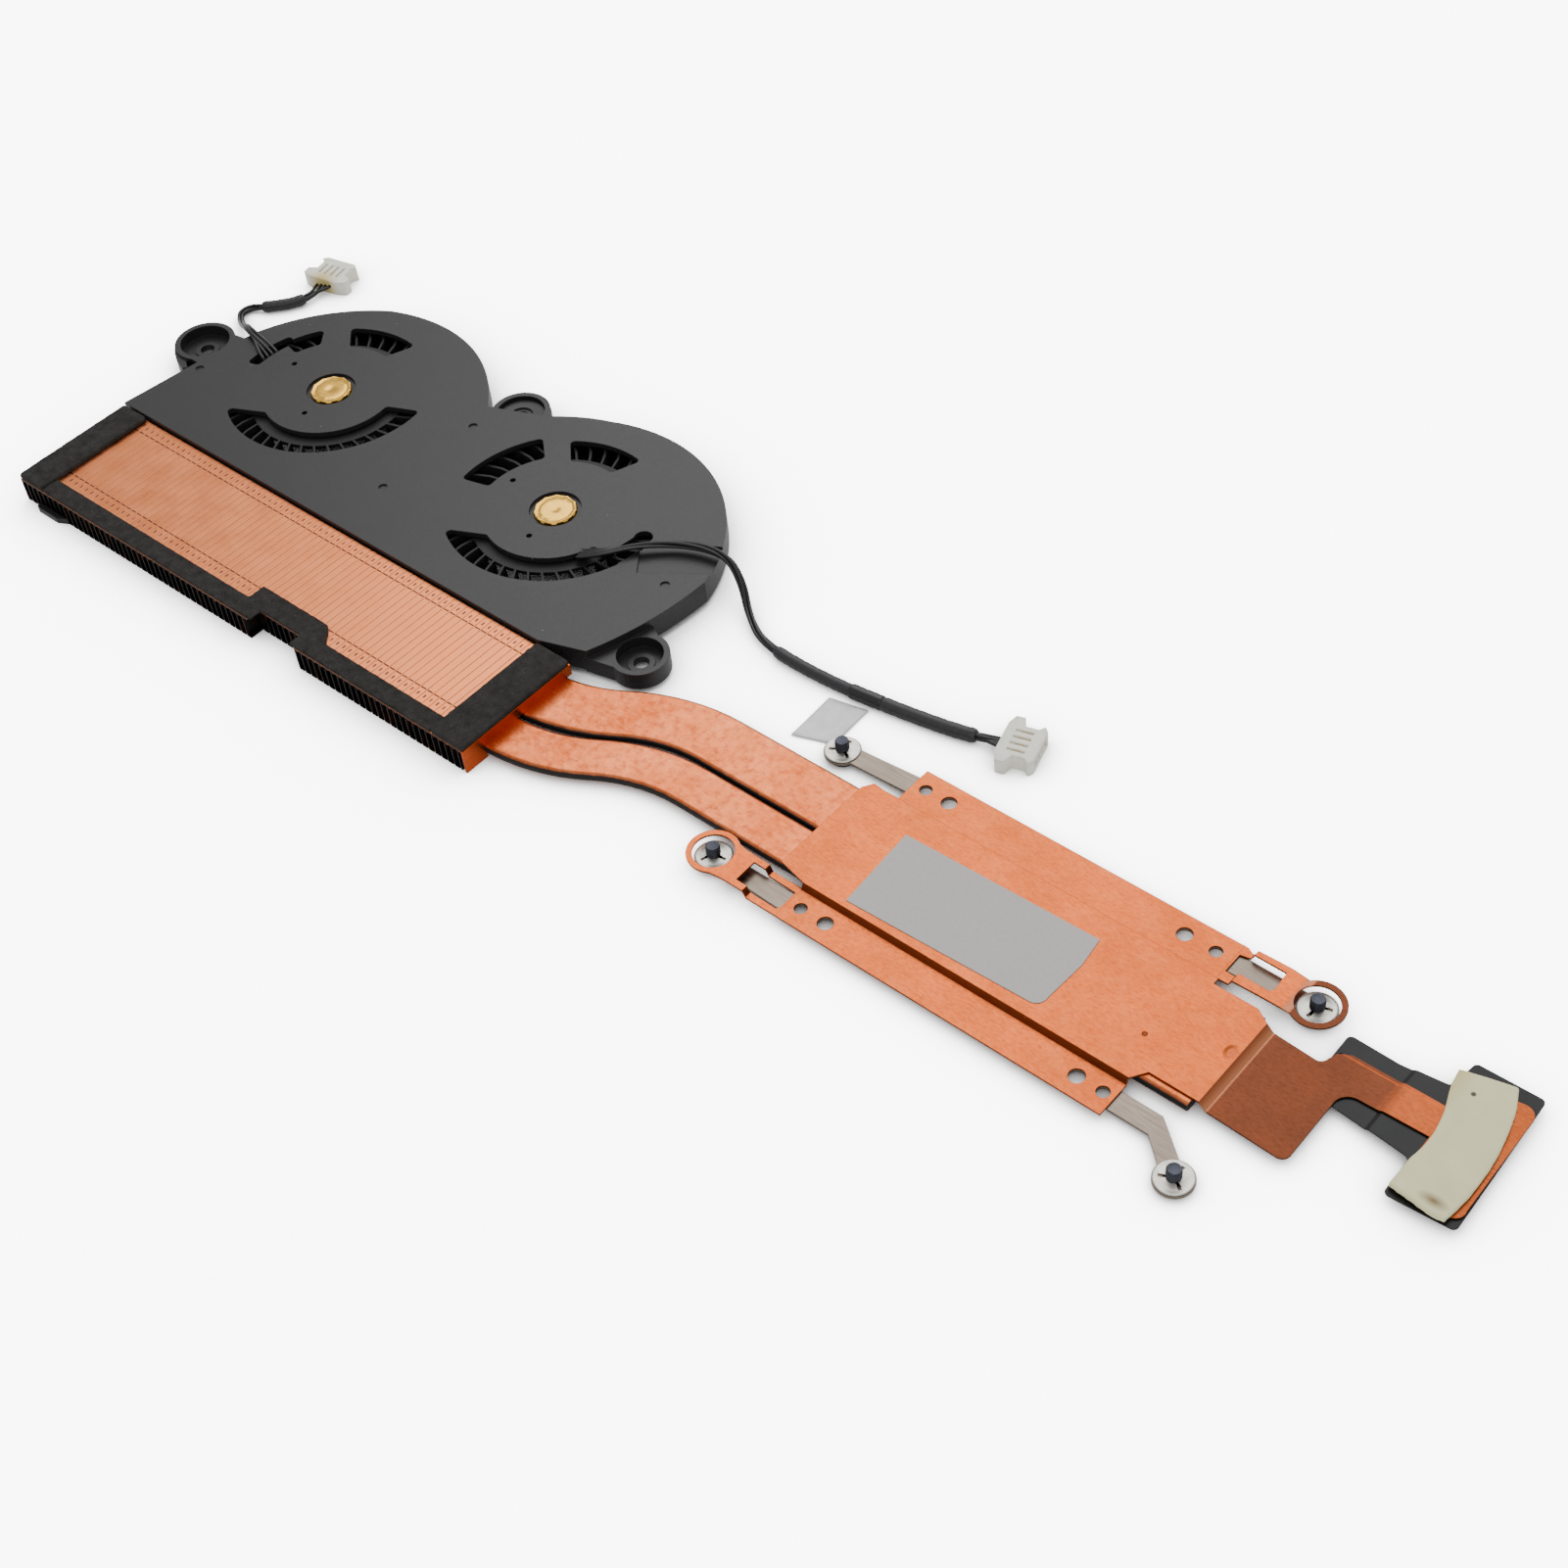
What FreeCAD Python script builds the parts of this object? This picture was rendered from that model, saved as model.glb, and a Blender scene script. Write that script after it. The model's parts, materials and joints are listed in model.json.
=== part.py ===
import FreeCAD, Part
import math
import os

os.makedirs("parts", exist_ok=True)

# A slim twin-fan cooler, lying with its circuit-board side up. Millimetres.
# While it is built, X runs along the fin stack to the right, Y goes away from the stack's open front,
# Z is up, and zero is the left fan's axis at the height of the housing's top face.
# At the end everything moves so that the origin is the middle of the footprint, on the resting plane.

# Fan housing, one moulding
fan_pitch = 50.4
roof_thickness = 0.9
side_wall = 0.8
housing_height = 3.7
housing_front = -21.8
housing_front_left = -25.5
housing_front_right = 68.3
scroll_start_radius = 21.2
scroll_rise = 8.1
scroll_start_angle = 110.0
scroll_end_angle = 2.0
scroll_power = 1.6
divider_thickness = 0.8
small_hole_radius = 0.45
dimple_radius = 0.7
dimple_depth = 0.25
lead_recess_depth = 0.35

# Openings in the roof, as radii about each fan's axis
opening_inner = 11.0
opening_outer = 16.1
opening_corner = 0.7
front_opening_dip = 0.9

# Ears of the housing: centre X, centre Y, radius
left_ear = (-29.0, -2.5, 5.0)
middle_ear = (28.1, 14.6, 4.7)
right_ear = (81.1, -14.4, 4.3)
ear_drop = 1.3
ear_rim = 0.9
ear_pocket_depth = 1.9
ear_boss_radius = 2.0
ear_boss_height = 0.2
ear_hole_radius = 1.15
hook_drop = 0.4

# Metal cover on the underside of the fans
cover_thickness = 0.3
inlet_radius = 12.4

# Motor and bearing of each fan
cap_radius = 3.35
cap_thickness = 0.5
cap_stand_out = 0.05
cap_moat = 0.6
cap_crimp = 0.3
tube_radius = 2.8
tube_end = 2.9
bearing_radius = 1.5
bearing_top = 0.6
shaft_radius = 0.75
shaft_below_bearing = 0.15
running_clearance = 0.03
fit_clearance = 0.02
stator_radius = 7.6
stator_top = 1.3
stator_bottom = 2.6
stator_yoke = 1.2
pole_count = 6
pole_width = 1.5
shoe_depth = 0.8
shoe_gap = 0.8
coil_width = 2.6
coil_clearance = 0.15
coil_above = 0.1
coil_below = 0.2
magnet_outer = 9.2
magnet_wall = 1.0
magnet_top = 1.35
magnet_bottom = 2.9

# Impellers
blade_count = 39
blade_tip_radius = 19.0
blade_thickness = 0.35
blade_lean = 17.0
blade_curl = 26.0
blade_steps = 3
rotor_top = 1.15
rotor_bottom = 3.5
cup_floor = 0.4
skirt_wall = 0.7
web_radius = 12.8
web_thickness = 0.6

# Fin stack
stack_length = 100.0
stack_left = -25.0
stack_front = -43.2
seam_gap = 0.3
stack_drop = 0.8
stack_height = 4.1
fin_pitch = 1.3
fin_thickness = 0.2
top_sheet = 0.3
foot_height = 0.2
foot_gap = 0.4
fin_height_over_pipes = 1.8
notch_left = 30.4
notch_width = 8.5
notch_depth = 2.2
end_plate = 0.4

# Foam strips
left_foam_width = 5.5
right_foam_width = 6.5
front_foam_width = 3.2
front_foam_thickness = 0.4
foam_overhang = 0.2
foam_corner = 0.5
notch_foam_left = 26.5
notch_foam_width = 14.5
notch_foam_depth = 6.0
notch_foam_taper = 2.6

# Ledge under the left front corner of the stack
ledge_length = 7.0
ledge_from_left = 3.6
ledge_depth = 0.9
ledge_height = 1.0

# Heat pipes, two flattened tubes that run side by side
pipe_thickness = 1.5
rear_pipe_width = 9.2
front_pipe_width = 7.1
pipe_gap = 0.3
pipe_inset = 0.9
pipe_left_inset = 2.0
pipe_end_inset = 0.9
bend_before_end = 3.5
bend_length = 29.0
bend_offset = 8.3
front_bend_lag = 2.6

# Contact plate, one folded copper sheet with its tail
plate_sheet = 0.3
plate_from_stack = 46.8
plate_left_front = -31.1
plate_left_back = -14.9
plate_step = 1.0
step_run = 0.5
flange_from_plate = 4.6
flange_length = 50.6
flange_front = -37.9
flange_back = -6.75
flange_front_step = -32.4
flange_back_step = -13.3
plate_right_front = -30.1
plate_right_back = -14.6
tail_from_flange = 8.4
tail_step_run = 1.0
tail_floor_length = 16.6
tail_rise = 0.3
neck_from_step = 9.9
tab_from_step = 23.2
tab_length = 8.4
tab_front = -25.9
tab_back = -7.5
edge_hole_radius = 0.9
rivet_hole_radius = 1.1
# Distances of the holes from the flanges' left and right ends
back_edge_holes = (2.0, 3.0)
back_rivet_holes = (5.9, 7.6)
front_edge_holes = (2.0, 1.6)
front_rivet_holes = (6.1, 5.4)
hole_inset = 2.85
ring_radius = 3.4
ring_hole_radius = 2.8
arm_clearance = 0.3

# Captive screws
thread_radius = 1.0
neck_radius = 0.8
neck_clearance = 0.2
thread_reach = 2.8
head_radius = 1.95
slot_width = 0.5
slot_depth = 0.45
screw_clearance = 0.2

# Leaf springs and washers
spring_thickness = 0.4
spring_width = 3.1
spring_end_radius = 2.6
spring_arm_width = 2.7
front_arm_bend = 5.9
washer_radius = 2.5
washer_thickness = 0.2
washer_slit_width = 0.35
washer_slit_length = 1.0
washer_clearance = 0.05

# Films and pad
film_thickness = 0.1
tail_film_thickness = 0.15
film_corner = 0.7
tail_pad_thickness = 0.8

# Fan leads, each a bundle of four thin wires
lead_diameter = 1.3
sleeve_wall = 0.4
sleeve_clearance = 0.05
plug_length = 5.6
plug_width = 5.6
plug_height = 2.6
plug_ear_reach = 1.5
plug_ear_length = 1.3
plug_slot = 0.45
plug_slot_start = 1.4
plug_slot_end = 1.6
plug_slot_depth = 0.8
plug_slope = 0.6
plug_mouth_depth = 2.0
plug_ways = 4
plug_way_pitch = 1.2
tag_thickness = 0.15

# Heights that follow from the sizes above
housing_bottom = -housing_height
cover_bottom = housing_bottom - cover_thickness
stack_top = -stack_drop
stack_back = housing_front - seam_gap
rest = stack_top - stack_height
pipe_top = stack_top - fin_height_over_pipes
plate_top = pipe_top + plate_sheet
flange_top = plate_top - plate_step
flange_bottom = flange_top - plate_sheet
spring_bottom = flange_bottom - spring_thickness
stack_right = stack_left + stack_length
bend_start = stack_right - bend_before_end
plate_left = stack_right + plate_from_stack
flange_left = plate_left + flange_from_plate
flange_right = flange_left + flange_length
chip_place = (plate_left + 25.5, -24.0)
tail_step_start = flange_right + tail_from_flange
tail_rise_start = tail_step_start + tail_floor_length
tab_left = tail_step_start + tab_from_step
tab_right = tab_left + tab_length
pipe_end = tail_step_start - pipe_end_inset
divider_foot = (stack_left + stack_right) / 2
sleeve_radius = lead_diameter / 2 + sleeve_clearance + sleeve_wall

# Places of the captive screws: X, Y
screw_front_left = (plate_left - 8.6, -34.8)
screw_back_left = (plate_left - 7.2, -10.3)
screw_back_right = (flange_right + 11.4, -9.5)
screw_front_right = (flange_right + 11.7, -39.8)

# Routes of the leads, chosen by hand, from the fan to the plug.
# A lead is sleeved along the points that lie at the sleeve's height.
floor_wire = rest + lead_diameter / 2
floor_sleeve = rest + sleeve_radius
plug_middle = rest + plug_height / 2
right_route = [
    (60.1, -5.0, -0.3),
    (63.0, -4.5, 0.85),
    (66.8, 0.6, 0.8),
    (72.8, 5.2, 0.8),
    (79.1, 6.5, 1.0),
    (82.7, 5.5, -1.8),
    (86.3, 2.5, -4.1),
    (92.3, -1.0, floor_sleeve),
    (104.5, -1.2, floor_sleeve),
    (116.0, 0.2, floor_sleeve),
    (124.2, 1.6, floor_sleeve),
    (128.3, 2.6, plug_middle),
    (131.0, 3.4, plug_middle),
]
left_route = [
    (-15.0, 0.3, -0.3),
    (-18.0, 0.8, 0.95),
    (-23.0, 2.4, 0.9),
    (-27.0, 4.3, -1.6),
    (-30.8, 6.2, -3.7),
    (-33.4, 7.9, -4.1),
    (-33.5, 10.3, floor_wire),
    (-30.8, 11.6, floor_sleeve),
    (-27.3, 15.4, floor_sleeve),
    (-26.4, 18.8, plug_middle),
    (-26.9, 21.3, plug_middle),
]


def point(x, y, z=0.0):
    return FreeCAD.Vector(x, y, z)


def polar(centre_x, radius, degrees, centre_y=0.0):
    turn = math.radians(degrees)
    return (centre_x + radius * math.cos(turn), centre_y + radius * math.sin(turn))


# A closed face in plan. A step of two numbers is a line to that point,
# and a step of four is an arc through the first point to the second.
def outline(start, *steps):
    edges = []
    here = point(*start)
    for step in steps + (start,):
        there = point(*step[-2:])
        if len(step) == 4:
            edges.append(Part.Arc(here, point(*step[:2]), there).toShape())
        elif here.distanceToPoint(there) > 0.001:
            edges.append(Part.makeLine(here, there))
        here = there
    return Part.Face(Part.Wire(edges))


def slab(face, bottom, top):
    lower = face.copy()
    lower.translate(point(0, 0, bottom))
    return lower.extrude(point(0, 0, top - bottom))


def disc(x, y, radius, bottom, top):
    return Part.makeCylinder(radius, top - bottom, point(x, y, bottom))


def ring(x, y, outer, inner, bottom, top):
    return disc(x, y, outer, bottom, top).cut(disc(x, y, inner, bottom, top))


def block(x_from, x_to, y_from, y_to, bottom, top):
    return Part.makeBox(x_to - x_from, y_to - y_from, top - bottom, point(x_from, y_from, bottom))


# The same steps of an outline, from another origin
def from_place(x, y, *steps):
    return [tuple(value + (x, y)[i % 2] for i, value in enumerate(step)) for step in steps]


# A solid turned about the upright axis at (x, 0) from a closed profile of (radius, height) points
def turned(profile, x):
    corners = [point(x + radius, 0, height) for radius, height in profile]
    face = Part.Face(Part.makePolygon(corners + corners[:1]))
    return face.revolve(point(x, 0, 0), point(0, 0, 1), 360)


def round_uprights(shape, radius, chosen=None):
    uprights = []
    for edge in shape.Edges:
        first, last = edge.Vertexes[0].Point, edge.Vertexes[-1].Point
        upright = math.hypot(first.x - last.x, first.y - last.y) < 0.001 and abs(first.z - last.z) > 0.01
        if upright and (chosen is None or chosen(first)):
            uprights.append(edge)
    return shape.makeFillet(radius, uprights)


def scroll_radius(degrees):
    share = max(0.0, (scroll_start_angle - degrees) / (scroll_start_angle - scroll_end_angle))
    return scroll_start_radius + scroll_rise * share ** scroll_power


def scroll_steps(fan_x, first, last, count=3):
    steps = []
    for i in range(count):
        middle = first + (last - first) * (i + 0.5) / count
        end = first + (last - first) * (i + 1) / count
        steps.append(polar(fan_x, scroll_radius(middle), middle) + polar(fan_x, scroll_radius(end), end))
    return steps


# The plan of both fans in one closed line: two spiral walls, the neck between them and a straight front
def housing_plan():
    return outline(
        (housing_front_left, housing_front),
        (housing_front_right, housing_front),
        (fan_pitch + 25.2, -19.4),
        (fan_pitch + 28.1, -10.0) + polar(fan_pitch, scroll_radius(scroll_end_angle), scroll_end_angle),
        *scroll_steps(fan_pitch, scroll_end_angle, scroll_start_angle),
        polar(fan_pitch, 21.6, 124) + polar(fan_pitch, 22.3, 137),
        polar(0, scroll_radius(25), 25),
        *scroll_steps(0, 25, scroll_start_angle),
        polar(0, 20.6, 130) + polar(0, 22.1, 172),
        (-23.8, -7.7),
    )


# The wall between the two fans, from the neck down to the middle of the front
def divider():
    half = divider_thickness / 2
    left = outline(
        (divider_foot - half, housing_front),
        (divider_foot + half, housing_front),
        (28.0 + half, -8.0, 28.9 + half, 3.0),
        (28.5 + half, 10.0, 27.6 + half, 13.4),
        (27.6 - half, 13.4),
        (28.5 - half, 10.0, 28.9 - half, 3.0),
        (28.0 - half, -8.0, divider_foot - half, housing_front),
    )
    return slab(left, housing_bottom, -roof_thickness)


# The air space of both fans with its open front
def air_space():
    plan = housing_plan().makeOffset2D(-side_wall)
    space = slab(plan, housing_bottom, -roof_thickness)
    outlets = block(
        housing_front_left + side_wall + 0.3, housing_front_right - side_wall,
        housing_front - 1, housing_front + 2 * side_wall, housing_bottom, -roof_thickness,
    )
    return space.fuse(outlets)


# A crescent-shaped hole in the roof between two arcs, with rounded corners
def crescent(fan_x, inner, outer, inner_from, inner_to, outer_from, outer_to, dip=0.0):
    inner_middle = (inner_from + inner_to) / 2
    outer_middle = (outer_from + outer_to) / 2
    face = outline(
        polar(fan_x, outer, outer_from),
        polar(fan_x, outer - dip, outer_middle) + polar(fan_x, outer, outer_to),
        polar(fan_x, inner, inner_to),
        polar(fan_x, inner, inner_middle) + polar(fan_x, inner, inner_from),
    )
    return round_uprights(slab(face, -roof_thickness - 0.1, 0.1), opening_corner)


def roof_openings():
    openings = []
    for fan_x in (0, fan_pitch):
        front_end = 11 if fan_x == 0 else -14
        openings.append(crescent(
            fan_x, opening_inner, opening_outer + 0.6, -113, front_end, -129, front_end + 4,
            front_opening_dip,
        ))
        openings.append(crescent(fan_x, opening_inner, opening_outer - 0.3, 84, 122, 79, 126))
    openings.append(crescent(fan_pitch, opening_inner + 1.2, opening_outer + 1.0, 142, 190, 141, 191))
    openings.append(crescent(0, opening_inner + 3.9, opening_outer + 1.0, 163, 190, 160, 191))
    openings.append(crescent(0, opening_inner + 1.4, opening_outer, 146, 166, 142, 166))
    slot = outline(
        polar(fan_pitch, 13.2, -17), polar(fan_pitch, 13.6, -6) + polar(fan_pitch, 14.3, 9),
        polar(fan_pitch, 15.7, 16) + polar(fan_pitch, 17.0, 12),
        polar(fan_pitch, 16.6, -4) + polar(fan_pitch, 16.3, -17),
    )
    openings.append(slab(slot, -roof_thickness - 0.1, 0.1))
    return openings


# An ear: a round pan with a raised rim, a sunk floor, a low boss round the hole, and a web to the housing
def ear(place, web):
    x, y, radius = place
    top = -ear_drop
    floor = top - ear_pocket_depth
    body = disc(x, y, radius, cover_bottom, top).fuse(slab(web, cover_bottom, top))
    pan = disc(x, y, radius - ear_rim, floor, top + 0.1)
    boss = disc(x, y, ear_boss_radius, floor, floor + ear_boss_height)
    return body.cut(pan).fuse(boss).cut(disc(x, y, ear_hole_radius, cover_bottom, top + 0.1))


def ears():
    x, y, radius = left_ear
    left_web = outline(
        (x - 2, y + radius - 0.5), (x + 3, y + radius - 1), (-22.4, 2.0), (-23.6, -7.2),
        (x + 1.5, y - radius + 0.5),
    )
    hook = outline(
        (x - 3.4, y - radius + 1.2), (x - 1.6, y - radius - 0.2, x + 2.1, y - radius - 1.7),
        (x + 2.7, y - radius - 1.1), (x + 1.2, y - radius - 0.2), (x + 1.4, y - radius + 0.8),
        (x - 2, y - radius + 1.4),
    )
    middle_web = outline(*from_place(
        *middle_ear[:2], (-4.6, -1.9), (-3.6, -4.2), (5.6, -0.6), (5.4, 1.4), (3.4, 3.4),
    ))
    x, y, radius = right_ear
    right_web = outline(
        (x - 4.4, y + 6.2), (x - 0.4, y + radius), (x - 1.0, y - radius + 0.2), (x - 6.0, y - 5.2),
    )
    left = ear(left_ear, left_web).fuse(slab(hook, cover_bottom, -ear_drop - hook_drop))
    return [left, ear(middle_ear, middle_web), ear(right_ear, right_web)]


# The shallow channel that the right fan's lead crosses on its way out
def lead_channel():
    channel = outline((66.4, 1.6), (70.2, -3.3), (76.1, 0.9), (79.9, 3.4), (78.4, 9.0), (71.8, 5.6))
    return slab(channel, -lead_recess_depth, 0.1)


def fan_housing():
    body = slab(housing_plan(), housing_bottom, 0)
    inside = air_space().cut(divider())
    # the pans of the ears stay clear of the air space, so the ears join after the inside is cut
    body = body.cut(inside)
    for fan_x in (0, fan_pitch):
        body = body.fuse(disc(fan_x, 0, tube_radius, -tube_end, -roof_thickness))
        body = body.cut(disc(fan_x, 0, bearing_radius + fit_clearance, -tube_end, -bearing_top))
        seat = cap_thickness - cap_stand_out
        body = body.cut(disc(fan_x, 0, cap_radius + cap_moat, -seat, 0.1))
        body = body.cut(disc(fan_x - 10.0, 1.0, small_hole_radius, -roof_thickness, 0.1))
        body = body.cut(disc(fan_x + 1.1, -6.6, small_hole_radius, -roof_thickness, 0.1))
    for x, y in ((-22.2, -8.8), (25.9, 6.6), (75.3, -2.7), (25.0, -11.7)):
        body = body.cut(disc(x, y, dimple_radius, -dimple_depth, 0.1))
    for opening in roof_openings():
        body = body.cut(opening)
    body = body.cut(lead_channel())
    outer = slab(housing_plan(), cover_bottom - 1, 1)
    for one in ears():
        body = body.fuse(one.cut(outer))
    return body.removeSplitter()


# Thin metal lid under both fans, with one round inlet for each
def fan_cover():
    lid = slab(housing_plan().makeOffset2D(-fit_clearance), cover_bottom, housing_bottom)
    for fan_x in (0, fan_pitch):
        lid = lid.cut(disc(fan_x, 0, inlet_radius, cover_bottom, housing_bottom))
    return lid


# Pressed cap with a turned-down crimped edge
def bearing_cap(fan_x):
    top = cap_stand_out
    return turned([
        (0, top - cap_thickness), (cap_radius, top - cap_thickness), (cap_radius, top - cap_crimp),
        (cap_radius - cap_crimp / 2, top), (cap_radius - 2 * cap_crimp, top),
        (cap_radius - 2.5 * cap_crimp, top - cap_crimp / 3), (0, top - cap_crimp / 3),
    ], fan_x)


def bearing(fan_x):
    return ring(fan_x, 0, bearing_radius, shaft_radius + running_clearance, -tube_end, -bearing_top)


def shaft(fan_x):
    tip = -bearing_top - shaft_below_bearing
    body = disc(fan_x, 0, shaft_radius, -rotor_bottom, tip)
    top_edges = [edge for edge in body.Edges if edge.BoundBox.ZMin > tip - 0.01]
    return body.makeChamfer(shaft_radius / 4, top_edges)


# Laminated core with T-shaped poles, and a coil round each pole
def stator(fan_x):
    inner = tube_radius + fit_clearance
    body = ring(fan_x, 0, inner + stator_yoke, inner, -stator_bottom, -stator_top)
    rim = ring(fan_x, 0, stator_radius, stator_radius - shoe_depth, -stator_bottom, -stator_top)
    coil_from = inner + stator_yoke + coil_clearance
    coil_to = stator_radius - shoe_depth - coil_clearance
    for i in range(pole_count):
        turn = 360.0 / pole_count * i
        pole = block(
            fan_x + inner + stator_yoke / 2, fan_x + stator_radius - shoe_depth / 2,
            -pole_width / 2, pole_width / 2, -stator_bottom, -stator_top,
        )
        coil = block(
            fan_x + coil_from, fan_x + coil_to, -coil_width / 2, coil_width / 2,
            -stator_bottom - coil_below, -stator_top + coil_above,
        )
        gap = block(
            fan_x + stator_radius - 2 * shoe_depth, fan_x + stator_radius + 1, -shoe_gap / 2, shoe_gap / 2,
            -stator_bottom, -stator_top,
        )
        for piece in (pole, coil):
            piece.rotate(point(fan_x, 0, 0), point(0, 0, 1), turn)
        gap.rotate(point(fan_x, 0, 0), point(0, 0, 1), turn + 180.0 / pole_count)
        rim = rim.cut(gap)
        body = body.fuse(pole).fuse(coil)
    return body.fuse(rim).removeSplitter()


def magnet(fan_x):
    return ring(fan_x, 0, magnet_outer, magnet_outer - magnet_wall, -magnet_bottom, -magnet_top)


# One side of a blade in plan, from its root to its tip: it leans forward, and curls by equal steps
def blade_side(fan_x, start_turn):
    x, y = polar(fan_x, web_radius - 0.3, start_turn)
    run = (blade_tip_radius - web_radius) / blade_steps / math.cos(math.radians(blade_lean + blade_curl / 2))
    side = [(x, y)]
    for i in range(blade_steps):
        heading = math.radians(start_turn + blade_lean + blade_curl * i / (blade_steps - 1))
        x += run * math.cos(heading)
        y += run * math.sin(heading)
        side.append((x, y))
    return side


def blade(fan_x):
    half = math.degrees(blade_thickness / 2 / web_radius)
    face = outline(*blade_side(fan_x, -half), *reversed(blade_side(fan_x, half)))
    return slab(face, -rotor_bottom + 0.05, -rotor_top)


# Cup, skirt and web turned as one, with the blades round the web
def impeller(fan_x):
    bore = shaft_radius + fit_clearance
    skirt_inner = magnet_outer + fit_clearance
    skirt_outer = skirt_inner + skirt_wall
    cup = turned([
        (bore, -rotor_bottom), (skirt_outer, -rotor_bottom), (skirt_outer, -rotor_top - web_thickness),
        (web_radius, -rotor_top - web_thickness), (web_radius, -rotor_top), (skirt_inner, -rotor_top),
        (skirt_inner, -rotor_bottom + cup_floor), (bore, -rotor_bottom + cup_floor),
    ], fan_x)
    blades = []
    for i in range(blade_count):
        one = blade(fan_x)
        one.rotate(point(fan_x, 0, 0), point(0, 0, 1), 360.0 / blade_count * i)
        blades.append(one)
    return cup.multiFuse(blades)


# One comb in the XZ plane: a closed top sheet with fins below it, each with a foot folded to the right
def comb(y_from, y_to, bottom):
    corners = [(stack_left, stack_top), (stack_left, bottom)]
    count = int((stack_length - end_plate) / fin_pitch)
    for i in range(count):
        left = stack_left + i * fin_pitch + fin_thickness
        right = stack_left + (i + 1) * fin_pitch
        corners += [
            (right - foot_gap, bottom), (right - foot_gap, bottom + foot_height),
            (left, bottom + foot_height), (left, stack_top - top_sheet),
            (right, stack_top - top_sheet), (right, bottom),
        ]
    corners += [(stack_right, bottom), (stack_right, stack_top)]
    line = [point(x, y_from, z) for x, z in corners]
    return Part.Face(Part.makePolygon(line + line[:1])).extrude(point(0, y_to - y_from, 0))


# Low fins over the pipes, and a lip of full height along the front
def fin_stack():
    lip_back = front_pipe_front_edge() - fit_clearance
    body = comb(lip_back, stack_back, pipe_top).fuse(comb(stack_front, lip_back, rest))
    notch_back = stack_front + notch_depth
    notch = block(notch_left, notch_left + notch_width, stack_front - 1, notch_back, rest - 1, 1)
    return body.cut(notch).removeSplitter()


def rear_pipe_middle():
    return stack_back - pipe_inset - rear_pipe_width / 2


def front_pipe_middle():
    return rear_pipe_middle() - rear_pipe_width / 2 - pipe_gap - front_pipe_width / 2


def front_pipe_front_edge():
    return front_pipe_middle() - front_pipe_width / 2


# The side foams stand on the copper and hang over the ends a little
def foam_left():
    left = stack_left - foam_overhang
    strip = block(left, stack_left + left_foam_width, stack_front, stack_back, stack_top, 0)
    return round_uprights(strip, foam_corner)


def foam_right():
    strip = block(stack_right - right_foam_width, stack_right, stack_front, stack_back, stack_top, 0)
    return round_uprights(strip, foam_corner)


def foam_front():
    left = stack_left + left_foam_width
    right = stack_right - right_foam_width
    back = stack_front + front_foam_width
    deep = stack_front + notch_foam_depth
    strip = outline(
        (left, stack_front), (notch_left, stack_front), (notch_left, stack_front + notch_depth),
        (notch_left + notch_width, stack_front + notch_depth), (notch_left + notch_width, stack_front),
        (right, stack_front), (right, back),
        (notch_foam_left + notch_foam_width + notch_foam_taper, back),
        (notch_foam_left + notch_foam_width, deep), (notch_foam_left, deep), (notch_foam_left, back),
        (left, back),
    )
    return slab(strip, stack_top, stack_top + front_foam_thickness)


# Rounded black foot on the front of the stack's left corner
def fin_ledge():
    left = stack_left + ledge_from_left
    front = stack_front - ledge_depth
    foot = outline(
        (left, stack_front), (left + 0.2, front + 0.2, left + ledge_depth, front),
        (left + ledge_length - 2 * ledge_depth, front), (left + ledge_length, stack_front),
    )
    return slab(foot, rest, rest + ledge_height)


# Centre line of a pipe: straight in the stack, two equal arcs, straight under the plate
def pipe_path(middle, lag, right_end):
    height = pipe_top - pipe_thickness / 2
    turn = 2 * math.atan(bend_offset / bend_length)
    radius = bend_length / 2 / math.sin(turn)
    first = point(stack_left + pipe_left_inset, middle, height)
    start = point(bend_start + lag, middle, height)
    inflection = point(start.x + bend_length / 2, middle + bend_offset / 2, height)
    end = point(start.x + bend_length, middle + bend_offset, height)
    last = point(right_end, middle + bend_offset, height)
    across = radius * math.sin(turn / 2)
    rise = radius * (1 - math.cos(turn / 2))
    first_arc = Part.Arc(start, point(start.x + across, middle + rise, height), inflection).toShape()
    second_arc = Part.Arc(inflection, point(end.x - across, end.y - rise, height), end).toShape()
    return Part.Wire([Part.makeLine(first, start), first_arc, second_arc, Part.makeLine(end, last)])


# Flattened tube: flat top and bottom with half-round sides
def heat_pipe(middle, width, lag, right_end):
    half = width / 2 - pipe_thickness / 2
    radius = pipe_thickness / 2
    height = pipe_top - radius
    x = stack_left + pipe_left_inset
    low_left = point(x, middle - half, height - radius)
    low_right = point(x, middle + half, height - radius)
    high_right = point(x, middle + half, height + radius)
    high_left = point(x, middle - half, height + radius)
    section = Part.Wire([
        Part.makeLine(low_left, low_right),
        Part.Arc(low_right, point(x, middle + width / 2, height), high_right).toShape(),
        Part.makeLine(high_right, high_left),
        Part.Arc(high_left, point(x, middle - width / 2, height), low_left).toShape(),
    ])
    return pipe_path(middle, lag, right_end).makePipeShell([section], True, False)


# A bent sheet seen from its side, as a closed line of top points and the same points one sheet lower
def bent_sheet(points, along, length):
    corners = points + [(place, height - plate_sheet) for place, height in reversed(points)]
    if along == "x":
        line = [point(length[0], place, height) for place, height in corners]
        sweep = point(length[1] - length[0], 0, 0)
    else:
        line = [point(place, length[0], height) for place, height in corners]
        sweep = point(0, length[1] - length[0], 0)
    return Part.Face(Part.makePolygon(line + line[:1])).extrude(sweep)


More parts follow.
